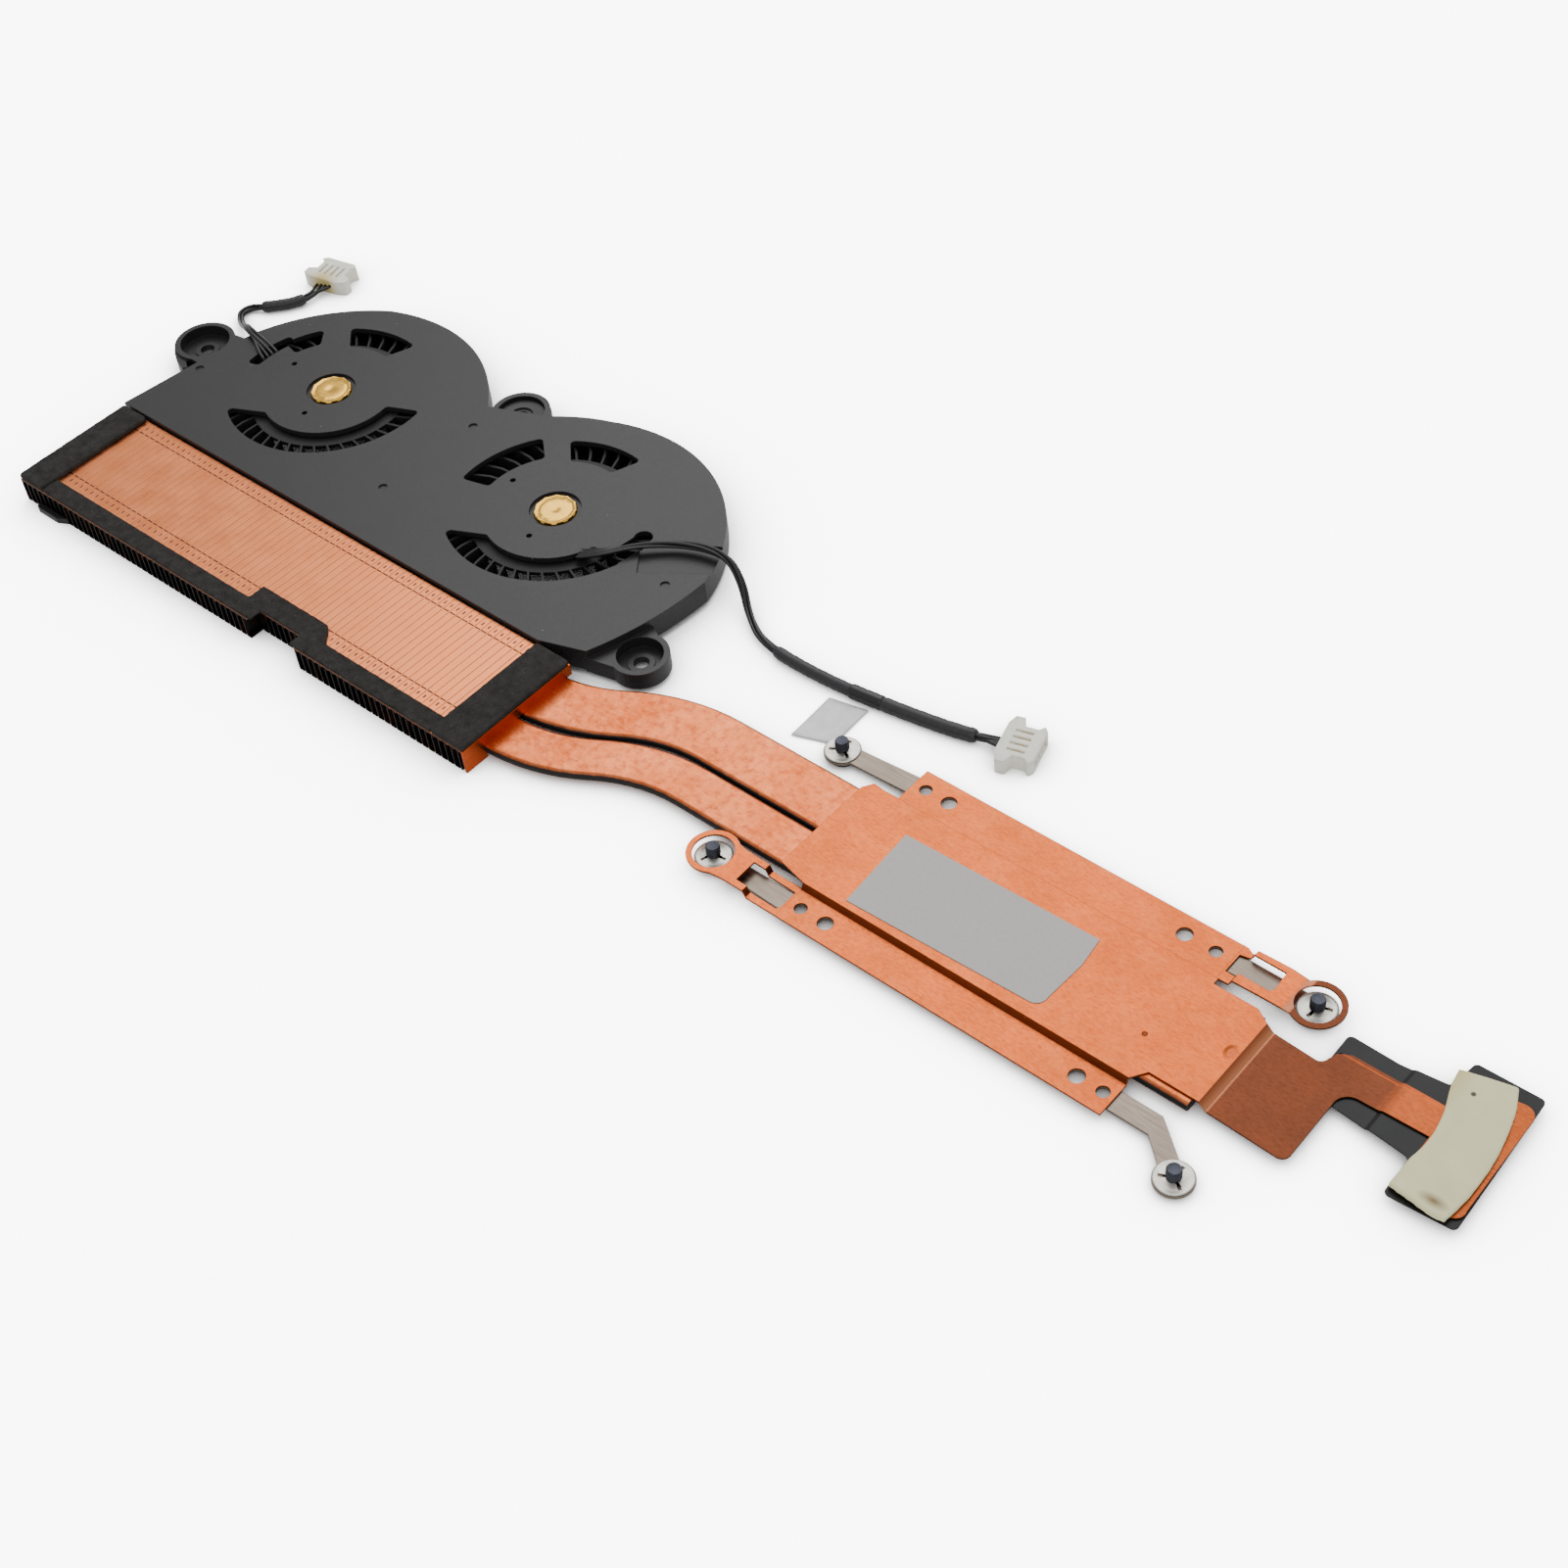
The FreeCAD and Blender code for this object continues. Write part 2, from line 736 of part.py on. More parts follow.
def contact_plate():
    half_run = step_run / 2
    cross = bent_sheet([
        (flange_front, flange_top), (flange_front_step - half_run, flange_top),
        (flange_front_step + half_run, plate_top), (flange_back_step - half_run, plate_top),
        (flange_back_step + half_run, flange_top), (flange_back, flange_top),
    ], "x", (flange_left, flange_right))
    middle = outline(
        (plate_left, plate_left_front), (flange_left, flange_front_step + half_run),
        (flange_right, flange_front_step + half_run), (flange_right + 1.4, plate_right_front),
        (tail_step_start, plate_right_front), (tail_step_start, plate_right_back - 1.2),
        (tail_step_start - 2, plate_right_back), (flange_right, plate_right_back),
        (flange_right, flange_back_step - half_run), (flange_left, flange_back_step - half_run),
        (plate_left + 3.2, -13.6), (plate_left + 1.0, -13.4), (plate_left, plate_left_back),
    )
    raised = slab(middle, plate_top - plate_sheet, plate_top)
    tail = tail_sheet()
    body = cross.fuse(raised).fuse(tail)
    for arm in copper_arms():
        body = body.fuse(arm)
    body = body.removeSplitter()
    for x, y, radius in flange_holes():
        body = body.cut(disc(x, y, radius, flange_bottom - 1, plate_top + 1))
    return body


def flange_holes():
    holes = []
    for y, edge_holes, rivet_holes in (
        (flange_back - hole_inset, back_edge_holes, back_rivet_holes),
        (flange_front + hole_inset, front_edge_holes, front_rivet_holes),
    ):
        for (from_left, from_right), radius in (
            (edge_holes, edge_hole_radius), (rivet_holes, rivet_hole_radius),
        ):
            holes.append((flange_left + from_left, y, radius))
            holes.append((flange_right - from_right, y, radius))
    return holes


# Two arms of the sheet, each with a long window and a ring round a screw
def copper_arms():
    x, y = screw_front_left
    beside_pipe = front_pipe_front_edge() + bend_offset - arm_clearance
    front_arm = outline(
        (x + 1.2, y + 3.1), (x + 2.4, beside_pipe), (x + 12.0, beside_pipe),
        (flange_left + 1, flange_front_step), (flange_left + 1, flange_front),
        *from_place(x, y, (12.9, -2.9), (8.4, -3.0), (5.4, -1.3), (1.2, -3.2)),
    )
    front_window = outline(*from_place(
        x, y, (5.2, 2.1), (8.7, 2.0), (13.0, 1.3), (13.0, 0.1), (7.4, -1.4), (5.4, -0.8),
    ))
    x, y = screw_back_right
    back_arm = outline(
        (flange_right - 1, flange_back),
        *from_place(x, y, (-10.1, 3.2), (-3.2, 2.8), (0, ring_radius)),
        *from_place(x, y, (-0.8, -3.3), (-5.1, -2.3), (-10.0, -2.3)),
        (flange_right - 1, flange_back_step + 0.1),
    )
    back_window = outline(*from_place(
        x, y, (-11.2, 0.6), (-10.4, 1.6), (-6.1, 1.9), (-5.6, 0.2), (-6.3, -1.4), (-11.0, -1.5),
    ))
    arms = []
    for arm, window, centre in (
        (front_arm, front_window, screw_front_left), (back_arm, back_window, screw_back_right),
    ):
        solid = slab(arm, flange_bottom, flange_top)
        solid = solid.fuse(disc(*centre, ring_radius, flange_bottom, flange_top))
        solid = solid.cut(slab(window, flange_bottom - 1, flange_top + 1))
        arms.append(solid.cut(disc(*centre, ring_hole_radius, flange_bottom - 1, flange_top + 1)))
    return arms


def tail_profile():
    return [
        (tail_step_start, plate_top), (tail_step_start + tail_step_run, flange_top),
        (tail_rise_start, flange_top),
        (tail_rise_start + 2 * tail_rise, flange_top + tail_rise), (tab_right + 1, flange_top + tail_rise),
    ]


# The tail steps down behind the plate, narrows to a neck, rises a little and ends in a wide tab
def tail_sheet():
    side = bent_sheet(tail_profile(), "y", (flange_front, 0))
    neck = tail_step_start + neck_from_step
    plan = outline(
        (tail_step_start, plate_right_front), (neck + 0.8, -30.5), (neck + 1.8, -30.2, neck + 2.2, -29.2),
        (neck + 2.1, -20.4), (neck + 2.7, -18.7, neck + 4.2, -18.1), (tab_left, -17.9), (tab_left, tab_front),
        (tab_right - 1.3, tab_front), (tab_right - 0.3, tab_front + 0.5, tab_right, tab_front + 1.8),
        (tab_right - 0.3, tab_back - 1.4), (tab_right - 0.9, tab_back - 0.3, tab_right - 2.2, tab_back),
        (tab_left, -8.4), (tab_left - 0.7, -13.1), (neck + 0.3, -13.1),
        (neck - 1.0, -13.6, neck - 1.6, -14.7),
        (neck - 1.8, -15.3), (neck - 2.2, -16.0, neck - 3.1, -16.2), (tail_step_start, -15.8),
    )
    return side.common(slab(plan, flange_bottom - 1, plate_top + 1))


# Grey film on the raised middle, with one large rounded corner
def thermal_film():
    film = outline(*from_place(
        *chip_place, (-14.5, -7.2), (13.6, -6.2), (14.7, -5.7, 15.1, -4.3), (15.4, 2.2), (14.8, 6.7),
        (-15.4, 6.0),
    ))
    return slab(film, plate_top, plate_top + film_thickness)


# The two sides of a spring's arm, from its bend on the strip to the screw
def arm_sides(bend_x, middle, screw):
    across = point(screw[1] - middle, bend_x - screw[0]).normalize() * (spring_arm_width / 2)
    return (screw[0] + across.x, screw[1] + across.y), (screw[0] - across.x, screw[1] - across.y)


# A stainless strip under one flange; both of its ends reach past the flange to a screw
def leaf_spring(left_screw, right_screw, middle, right_bend):
    half = spring_width / 2
    right_sides = arm_sides(right_bend, middle, right_screw)
    right_front, right_back = sorted(right_sides, key=lambda side: side[1] + side[0] / 10)
    left_sides = arm_sides(flange_left, middle, left_screw)
    left_front, left_back = sorted(left_sides, key=lambda side: side[1])
    strip = outline(
        left_front, (flange_left, middle - half), (right_bend, middle - half), right_front,
        right_back, (right_bend, middle + half), (flange_left, middle + half), left_back,
    )
    body = slab(strip, spring_bottom, flange_bottom)
    for x, y in (left_screw, right_screw):
        body = body.fuse(disc(x, y, spring_end_radius, spring_bottom, flange_bottom))
    body = body.removeSplitter()
    for x, y in (left_screw, right_screw):
        body = body.cut(disc(x, y, thread_radius + screw_clearance, spring_bottom - 1, flange_bottom + 1))
    for x, y, radius in flange_holes():
        if abs(y - middle) < spring_width:
            body = body.cut(disc(x, y, radius, spring_bottom - 1, flange_bottom + 1))
    return body


def screw_places():
    return [screw_front_left, screw_back_left, screw_back_right, screw_front_right]


# Four captive screws, heads down, each with a cross slot in its head and a thin neck for the washer
def captive_screws():
    screws = []
    for x, y in screw_places():
        head = disc(x, y, head_radius, rest, spring_bottom)
        half = slot_width / 2
        slot_top = rest + slot_depth
        across = block(x - head_radius, x + head_radius, y - half, y + half, rest, slot_top)
        along = block(x - half, x + half, y - head_radius, y + head_radius, rest, slot_top)
        head = head.cut(across).cut(along)
        tip = flange_bottom + thread_reach
        thread_start = flange_bottom + washer_thickness + neck_clearance
        thread = disc(x, y, thread_radius, thread_start, tip)
        top_edges = [edge for edge in thread.Edges if edge.BoundBox.ZMin > tip - 0.01]
        thread = thread.makeChamfer(thread_radius / 4, top_edges)
        screws.append(head.fuse(disc(x, y, neck_radius, spring_bottom, thread_start)).fuse(thread))
    return Part.makeCompound(screws)


# Push-on washers that sit on the necks under the threads, each with three slits
def retaining_washers():
    washers = []
    bore = neck_radius + washer_clearance
    half = washer_slit_width / 2
    top = flange_bottom + washer_thickness
    for x, y in screw_places():
        body = ring(x, y, washer_radius, bore, flange_bottom, top)
        for i in range(3):
            slit = block(x, x + bore + washer_slit_length, y - half, y + half, flange_bottom, top)
            slit.rotate(point(x, y, 0), point(0, 0, 1), 90 + 120 * i)
            body = body.cut(slit)
        washers.append(body)
    return Part.makeCompound(washers)


# Black film stuck under the neck and the tab, wider than both
def tail_film():
    top = [(place, height - plate_sheet) for place, height in tail_profile()[2:]]
    top.insert(0, (tail_step_start + neck_from_step / 2, flange_bottom))
    corners = top + [(place, height - tail_film_thickness) for place, height in reversed(top)]
    line = [point(place, flange_front, height) for place, height in corners]
    side = Part.Face(Part.makePolygon(line + line[:1])).extrude(point(0, -flange_front, 0))
    plan = outline(*from_place(
        tab_left, 0, (-15.1, -10.5), (-14.9, -20.6), (-10.9, -20.6), (-0.4, -21.6), (-0.3, -27.5),
        (8.7, -26.9), (7.9, -5.4), (-1.2, -5.5), (-1.8, -10.0), (-8.1, -10.7),
    ))
    return side.common(round_uprights(slab(plan, cover_bottom - 1, 0), film_corner))


def tail_pad():
    bottom = flange_top + tail_rise
    pad = outline(*from_place(
        tab_left, 0, (-1.7, -10.4), (-0.8, -13.1), (0.1, -16.5, -0.1, -22.0), (-0.2, -26.5),
        (5.8, -27.2), (7.2, -27.0), (7.7, -18.0, 5.9, -8.9), (4.7, -6.3), (-2.1, -8.0),
    ))
    return slab(pad, bottom, bottom + tail_pad_thickness)


# The runs and tangent arcs of a lead: each arc is as large as its two runs allow
def lead_edges(route):
    places = [point(*one) for one in route]
    edges = []
    here = places[0]
    for before, corner, after in zip(places, places[1:], places[2:]):
        inward = (corner - before).normalize()
        outward = (after - corner).normalize()
        half_turn = inward.getAngle(outward) / 2
        reach = 0.45 * min(before.distanceToPoint(corner), corner.distanceToPoint(after))
        radius = reach / math.tan(half_turn)
        start = corner - inward * reach
        end = corner + outward * reach
        middle = corner + (outward - inward).normalize() * radius * (1 / math.cos(half_turn) - 1)
        edges += [Part.makeLine(here, start), Part.Arc(start, middle, end).toShape()]
        here = end
    edges.append(Part.makeLine(here, places[-1]))
    return edges


def swept_tube(edges, radius):
    path = Part.Wire(edges)
    start = edges[0].Vertexes[0].Point
    direction = edges[0].tangentAt(edges[0].FirstParameter)
    circle = Part.Wire([Part.Circle(start, direction, radius).toShape()])
    return path.makePipeShell([circle], True, False)


def lead(route, name):
    edges = lead_edges(route)
    tube = swept_tube(edges, lead_diameter / 2)
    length = sum(edge.Length for edge in edges)
    section = math.pi * lead_diameter ** 2 / 4
    print(name, "bend radii", [round(edge.Curve.Radius, 2) for edge in edges[1::2]])
    print(name, "length", round(length, 2), "volume ratio", round(tube.Volume / (length * section), 4))
    return tube


# The sleeve lies round the runs between the points at its height, and half of the way on from the last
def sleeve(route):
    covered = [i for i, place in enumerate(route) if place[2] == floor_sleeve]
    edges = lead_edges(route)[2 * covered[0]:2 * covered[-1] + 1]
    return swept_tube(edges, sleeve_radius).cut(swept_tube(edges, lead_diameter / 2 + sleeve_clearance))


# Small moulded plug: a body with two ears on each side, a slot for each contact, and an open mating face
def plug(route):
    before, last = point(*route[-2]), point(*route[-1])
    heading = math.degrees(math.atan2(last.y - before.y, last.x - before.x))
    half = plug_width / 2
    ear = half + plug_ear_reach
    lip = half + plug_ear_reach / 2
    plan = outline(
        (0, -half), (plug_slope, -ear), (plug_slope + plug_ear_length, -ear),
        (2 * plug_slope + plug_ear_length, -half), (plug_length - plug_ear_length, -half),
        (plug_length - plug_slope, -lip), (plug_length, -half), (plug_length, half),
        (plug_length - plug_slope, lip), (plug_length - plug_ear_length, half),
        (2 * plug_slope + plug_ear_length, half), (plug_slope + plug_ear_length, ear),
        (plug_slope, ear), (0, half),
    )
    body = slab(plan, 0, plug_height)
    for i in range(plug_ways):
        y = (i - (plug_ways - 1) / 2) * plug_way_pitch
        slot = block(
            plug_slot_start, plug_length - plug_slot_end, y - plug_slot / 2, y + plug_slot / 2,
            plug_height - plug_slot_depth, plug_height,
        )
        mouth = block(
            plug_length - plug_mouth_depth, plug_length, y - plug_slot, y + plug_slot,
            plug_height / 4, plug_height * 3 / 4,
        )
        body = body.cut(slot).cut(mouth)
    body.rotate(point(0, 0, 0), point(0, 0, 1), heading)
    body.translate(point(last.x, last.y, rest))
    return body


def lead_tag():
    tag = outline((105.9, -2.9), (111.9, -1.7), (112.2, -9.4), (106.3, -11.5))
    return slab(tag, rest, rest + tag_thickness)


cord_pieces = {
    "lead_left": lead(left_route, "lead_left"),
    "lead_right": lead(right_route, "lead_right"),
    "sleeve_left": sleeve(left_route),
    "sleeve_right": sleeve(right_route),
    "plug_left": plug(left_route),
    "plug_right": plug(right_route),
    "lead_tag": lead_tag(),
}

pieces = {
    "fan_housing": fan_housing(),
    "fan_cover": fan_cover(),
    "fin_stack": fin_stack(),
    "foam_left": foam_left(),
    "foam_right": foam_right(),
    "foam_front": foam_front(),
    "fin_ledge": fin_ledge(),
    "heat_pipe_rear": heat_pipe(rear_pipe_middle(), rear_pipe_width, 0, pipe_end),
    "heat_pipe_front": heat_pipe(front_pipe_middle(), front_pipe_width, front_bend_lag, pipe_end),
    "contact_plate": contact_plate(),
    "thermal_film": thermal_film(),
    "leaf_spring_front": leaf_spring(
        screw_front_left, screw_front_right, flange_front + hole_inset, flange_right + front_arm_bend,
    ),
    "leaf_spring_rear": leaf_spring(
        screw_back_left, screw_back_right, flange_back - hole_inset, flange_right,
    ),
    "captive_screws": captive_screws(),
    "retaining_washers": retaining_washers(),
    "tail_film": tail_film(),
    "tail_pad": tail_pad(),
}
for side, fan_x in (("left", 0), ("right", fan_pitch)):
    pieces["bearing_cap_" + side] = bearing_cap(fan_x)
    pieces["bearing_" + side] = bearing(fan_x)
    pieces["shaft_" + side] = shaft(fan_x)
    pieces["stator_" + side] = stator(fan_x)
    pieces["magnet_" + side] = magnet(fan_x)
    pieces["impeller_" + side] = impeller(fan_x)

# The origin goes to the middle of the footprint of everything but the leads
whole = Part.makeCompound(list(pieces.values())).optimalBoundingBox(False)
shift = point(-(whole.XMin + whole.XMax) / 2, -(whole.YMin + whole.YMax) / 2, -whole.ZMin)
for name, shape in {**pieces, **cord_pieces}.items():
    moved = shape.copy()
    moved.translate(shift)
    if not moved.isValid():
        print("not valid:", name)
    moved.exportStep("parts/" + name + ".step")
size = (whole.XLength, whole.YLength, whole.ZLength)
print("shift", [round(value, 4) for value in shift], "size", [round(value, 3) for value in size])
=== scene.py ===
import bpy
import bmesh
import json
import math
import random
from mathutils import Matrix, Vector, noise

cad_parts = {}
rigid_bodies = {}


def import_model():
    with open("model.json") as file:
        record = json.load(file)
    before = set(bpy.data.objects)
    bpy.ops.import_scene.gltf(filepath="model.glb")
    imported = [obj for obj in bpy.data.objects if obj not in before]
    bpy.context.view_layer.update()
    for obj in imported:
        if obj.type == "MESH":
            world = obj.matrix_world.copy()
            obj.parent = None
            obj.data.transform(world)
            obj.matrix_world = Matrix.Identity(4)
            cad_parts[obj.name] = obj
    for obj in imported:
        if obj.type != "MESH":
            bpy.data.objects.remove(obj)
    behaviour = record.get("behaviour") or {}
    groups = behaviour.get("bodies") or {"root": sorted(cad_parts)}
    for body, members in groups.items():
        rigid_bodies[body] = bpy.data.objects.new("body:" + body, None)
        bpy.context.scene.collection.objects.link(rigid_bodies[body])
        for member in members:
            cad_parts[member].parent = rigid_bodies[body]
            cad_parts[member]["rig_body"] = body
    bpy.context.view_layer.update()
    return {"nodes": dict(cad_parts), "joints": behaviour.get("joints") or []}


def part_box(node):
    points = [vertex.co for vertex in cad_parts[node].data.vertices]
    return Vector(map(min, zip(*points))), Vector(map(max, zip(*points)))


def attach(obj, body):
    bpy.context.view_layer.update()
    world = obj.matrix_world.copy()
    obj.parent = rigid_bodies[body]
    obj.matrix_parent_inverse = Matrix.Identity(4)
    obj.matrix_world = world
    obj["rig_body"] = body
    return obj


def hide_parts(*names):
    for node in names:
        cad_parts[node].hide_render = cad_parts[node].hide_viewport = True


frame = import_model()
print("frame loaded:", len(frame["nodes"]), "nodes")

# The working frame has its zero on the left fan's axis, at the height of the housing's top face
leftJoint = [j for j in frame["joints"] if j["name"] == "left_fan_spin"][0]
rightJoint = [j for j in frame["joints"] if j["name"] == "right_fan_spin"][0]
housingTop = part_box("fan_housing")[1].z
fanOrigin = Vector((leftJoint["pos_m"][0], leftJoint["pos_m"][1], housingTop))
fanPitch = (rightJoint["pos_m"][0] - leftJoint["pos_m"][0]) * 1000
restHeight = -housingTop * 1000


def mm(x, y, z=0.0):
    # millimetres about the left fan to metres in the row frame
    return fanOrigin + Vector((x, y, z)) * 0.001


def tone(red, green, blue):
    # a screen colour of 0 to 255 as the linear colour that shaders take
    linear = [((c / 255 + 0.055) / 1.055) ** 2.4 if c > 10 else c / 255 / 12.92 for c in (red, green, blue)]
    return (*linear, 1.0)


# Camera at the photograph's place and angle
camera = {
    "lens": 56.21,
    "place": (273.97, -175.10, 233.87),
    "right": (0.753023, 0.652364, -0.085893),
    "down": (0.433474, -0.590040, -0.681141),
    "forward": (-0.495032, 0.475682, -0.727097),
}


def makeCamera():
    data = bpy.data.cameras.new("camera")
    data.lens = camera["lens"]
    data.sensor_width = 36
    data.sensor_fit = "HORIZONTAL"
    data.clip_start = 0.01
    data.clip_end = 20
    view = bpy.data.objects.new("camera", data)
    right, down, forward = (Vector(camera[side]) for side in ("right", "down", "forward"))
    turn = Matrix((right, -down, -forward)).transposed().to_4x4()
    view.matrix_world = Matrix.Translation(mm(*camera["place"])) @ turn
    bpy.context.scene.collection.objects.link(view)
    bpy.context.scene.camera = view


makeCamera()
print("camera placed")


# Mesh helpers

def addObject(name, mesh, material=None):
    thing = bpy.data.objects.new(name, mesh)
    bpy.context.scene.collection.objects.link(thing)
    if material:
        mesh.materials.append(material)
    return thing


def meshFrom(name, corners, faces, smooth=True):
    mesh = bpy.data.meshes.new(name)
    mesh.from_pydata([tuple(c) for c in corners], [], faces)
    mesh.validate()
    solid = bmesh.new()
    solid.from_mesh(mesh)
    bmesh.ops.recalc_face_normals(solid, faces=solid.faces)
    solid.to_mesh(mesh)
    solid.free()
    for face in mesh.polygons:
        face.use_smooth = smooth
    return mesh


def smoothByAngle(mesh, degrees=32):
    # flat faces stay flat: edges sharper than the angle are marked sharp
    solid = bmesh.new()
    solid.from_mesh(mesh)
    limit = math.radians(degrees)
    for edge in solid.edges:
        edge.smooth = edge.is_manifold and edge.calc_face_angle(0) < limit
    for face in solid.faces:
        face.smooth = True
    solid.to_mesh(mesh)
    solid.free()


def softEdged(name, node, width, segments=2, sharp=28, material=None):
    # a copy of a solid whose hard edges are rounded by width millimetres, shown in the solid's place
    source = frame["nodes"][node]
    mesh = source.data.copy()
    mesh.name = name
    mesh.materials.clear()
    solid = bmesh.new()
    solid.from_mesh(mesh)
    bmesh.ops.remove_doubles(solid, verts=solid.verts, dist=0.000002)
    bmesh.ops.dissolve_limit(solid, angle_limit=math.radians(1.0), verts=solid.verts, edges=solid.edges)
    hard = [e for e in solid.edges if e.is_manifold and e.calc_face_angle(0) > math.radians(sharp)]
    bmesh.ops.bevel(
        solid, geom=hard, offset=width * 0.001, offset_type="OFFSET", segments=segments,
        profile=0.5, affect="EDGES", clamp_overlap=True,
    )
    bmesh.ops.triangulate(solid, faces=[f for f in solid.faces if len(f.verts) > 4])
    solid.to_mesh(mesh)
    solid.free()
    smoothByAngle(mesh, 35)
    piece = addObject(name, mesh, material)
    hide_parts(node)
    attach(piece, frame["nodes"][node]["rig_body"])
    return piece


# Line helpers for the leads

def routeLine(name, points):
    # the smooth line of a lead, as points close together along its spline
    data = bpy.data.curves.new(name, "CURVE")
    data.dimensions = "3D"
    data.resolution_u = 10
    spline = data.splines.new("NURBS")
    spline.points.add(len(points) - 1)
    for knot, place in zip(spline.points, points):
        knot.co = (*place, 1.0)
    spline.order_u = 3
    spline.use_endpoint_u = True
    thing = bpy.data.objects.new(name, data)
    bpy.context.scene.collection.objects.link(thing)
    line = bpy.data.meshes.new_from_object(thing)
    places = [v.co.copy() for v in line.vertices]
    bpy.data.objects.remove(thing)
    bpy.data.meshes.remove(line)
    return places


def lengthsAlong(line):
    lengths = [0.0]
    for first, second in zip(line, line[1:]):
        lengths.append(lengths[-1] + (second - first).length)
    return lengths


def framesAlong(line):
    # a steady side and up direction at each point of a line
    frames = []
    side = None
    for i, place in enumerate(line):
        ahead = (line[min(i + 1, len(line) - 1)] - line[max(i - 1, 0)]).normalized()
        if side is None:
            side = ahead.cross(Vector((0, 0, 1))).normalized()
        side = (side - ahead * side.dot(ahead)).normalized()
        frames.append((place, side, side.cross(ahead).normalized() * -1))
    return frames


def tubeMesh(name, centres, frames, radii, around=12, caps=True):
    # a round tube about the given centres, with its own radius at each of them
    corners = []
    faces = []
    for (place, side, up), centre, radius in zip(frames, centres, radii):
        for k in range(around):
            turn = 2 * math.pi * k / around
            corners.append(centre + (side * math.cos(turn) + up * math.sin(turn)) * radius)
    for i in range(len(centres) - 1):
        for k in range(around):
            a = i * around + k
            b = i * around + (k + 1) % around
            faces.append((a, b, b + around, a + around))
    if caps:
        faces.append(tuple(range(around))[::-1])
        last = (len(centres) - 1) * around
        faces.append(tuple(range(last, last + around)))
    return meshFrom(name, corners, faces)


def joined(name, meshes):
    # several meshes as one, each with its own material slot kept
    solid = bmesh.new()
    for mesh in meshes:
        solid.from_mesh(mesh)
    whole = bpy.data.meshes.new(name)
    solid.to_mesh(whole)
    solid.free()
    return whole


# Leads: the routes are those of the CAD tubes, as control points of smooth splines

leads = {
    "diameter": 1.3,
    "wireRadius": 0.27,
    "twistLength": 46.0,
    "plugSpread": (3.6, 0.95),
    "fanSpread": {"lead_left": (8.5, 0.85), "lead_right": (15.0, 0.56)},
    "sleeveRadius": 1.1,
    "plugHeight": 2.6,
    "wireColour": tone(22, 22, 23),
    "sleeveColour": tone(34, 34, 37),
    "tapeColour": tone(16, 16, 17),
    "plugColour": tone(250, 246, 230),
    "tagColour": tone(240, 240, 240),
}
floorWire = restHeight + leads["diameter"] / 2
floorSleeve = restHeight + leads["sleeveRadius"]
plugMiddle = restHeight + leads["plugHeight"] / 2
rightRoute = [mm(*place) for place in (
    (60.1, -5.0, -0.3),
    (63.0, -4.5, 0.85),
    (66.8, 0.6, 0.8),
    (72.8, 5.2, 0.8),
    (79.1, 6.5, 1.0),
    (82.7, 5.5, -1.8),
    (86.3, 2.5, -4.1),
    (92.3, -1.0, floorSleeve),
    (104.5, -1.2, floorSleeve),
    (116.0, 0.2, floorSleeve),
    (124.2, 1.6, floorSleeve),
    (128.3, 2.6, plugMiddle),
    (131.0, 3.4, plugMiddle),
)]
leftRoute = [mm(*place) for place in (
    (-15.0, 0.3, -0.3),
    (-18.0, 0.8, 0.95),
    (-23.0, 2.4, 0.9),
    (-27.0, 4.3, -1.6),
    (-30.8, 6.2, -3.7),
    (-33.4, 7.9, -4.1),
    (-33.5, 10.3, floorWire),
    (-30.8, 11.6, floorSleeve),
    (-27.3, 15.4, floorSleeve),
    (-26.4, 18.8, plugMiddle),
    (-26.9, 21.3, plugMiddle),
)]


def strands(name, line):
    # four wires that run side by side out of the fan, gather into a bundle and part again at the plug
    plugLength, plugPitch = leads["plugSpread"]
    fanLength, fanPitchOfWires = leads["fanSpread"][name]
    frames = framesAlong(line)
    lengths = lengthsAlong(line)
    bundle = (leads["diameter"] / 2 - leads["wireRadius"]) * 0.001
    wires = []
    for k in range(4):
        centres = []
        for (place, side, up), length in zip(frames, lengths):
            turn = math.pi / 2 * k + 2 * math.pi * length * 1000 / leads["twistLength"]
            together = place + (side * math.cos(turn) + up * math.sin(turn)) * bundle
            atPlug = 1 - min(1.0, (lengths[-1] - length) * 1000 / plugLength)
            atFan = 1 - min(1.0, length * 1000 / fanLength)
            flat = place + side * (k - 1.5) * (plugPitch if atPlug else fanPitchOfWires) * 0.001
            apart = max(atPlug, atFan)
            centres.append(together.lerp(flat, apart * apart * (3 - 2 * apart)))
        radii = [leads["wireRadius"] * 0.001] * len(centres)
        wires.append(tubeMesh(name + str(k), centres, frames, radii, 10))
    return joined(name, wires)


def sleeveMesh(name, line, first, last, radiusAt):
    # a shrunk sleeve round part of a lead, with slight wrinkles and rolled ends
    lengths = lengthsAlong(line)
    steps = 150
    centres = []
    radii = []
    for i in range(steps + 1):
        share = i / steps
        length = first + (last - first) * share
        j = max(k for k in range(len(line)) if lengths[k] <= length + 1e-9)
        j = min(j, len(line) - 2)
        part = (length - lengths[j]) / (lengths[j + 1] - lengths[j])
        centres.append(line[j].lerp(line[j + 1], part))
        wrinkle = 0.03 * math.sin(length * 4100) * math.sin(length * 1730)
        rolled = 1 - 0.25 * math.exp(-min(share, 1 - share) * 60)
        radii.append((radiusAt(share) + wrinkle) * rolled * 0.001)
    return tubeMesh(name, centres, framesAlong(centres), radii, 20)


def noteLead(name, line, piece, extras):
    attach(piece, "cooler")
    print(name, "length", round(lengthsAlong(line)[-1] * 1000, 1), "mm")


# Light, in metres and watts, with its places in the working frame's millimetres

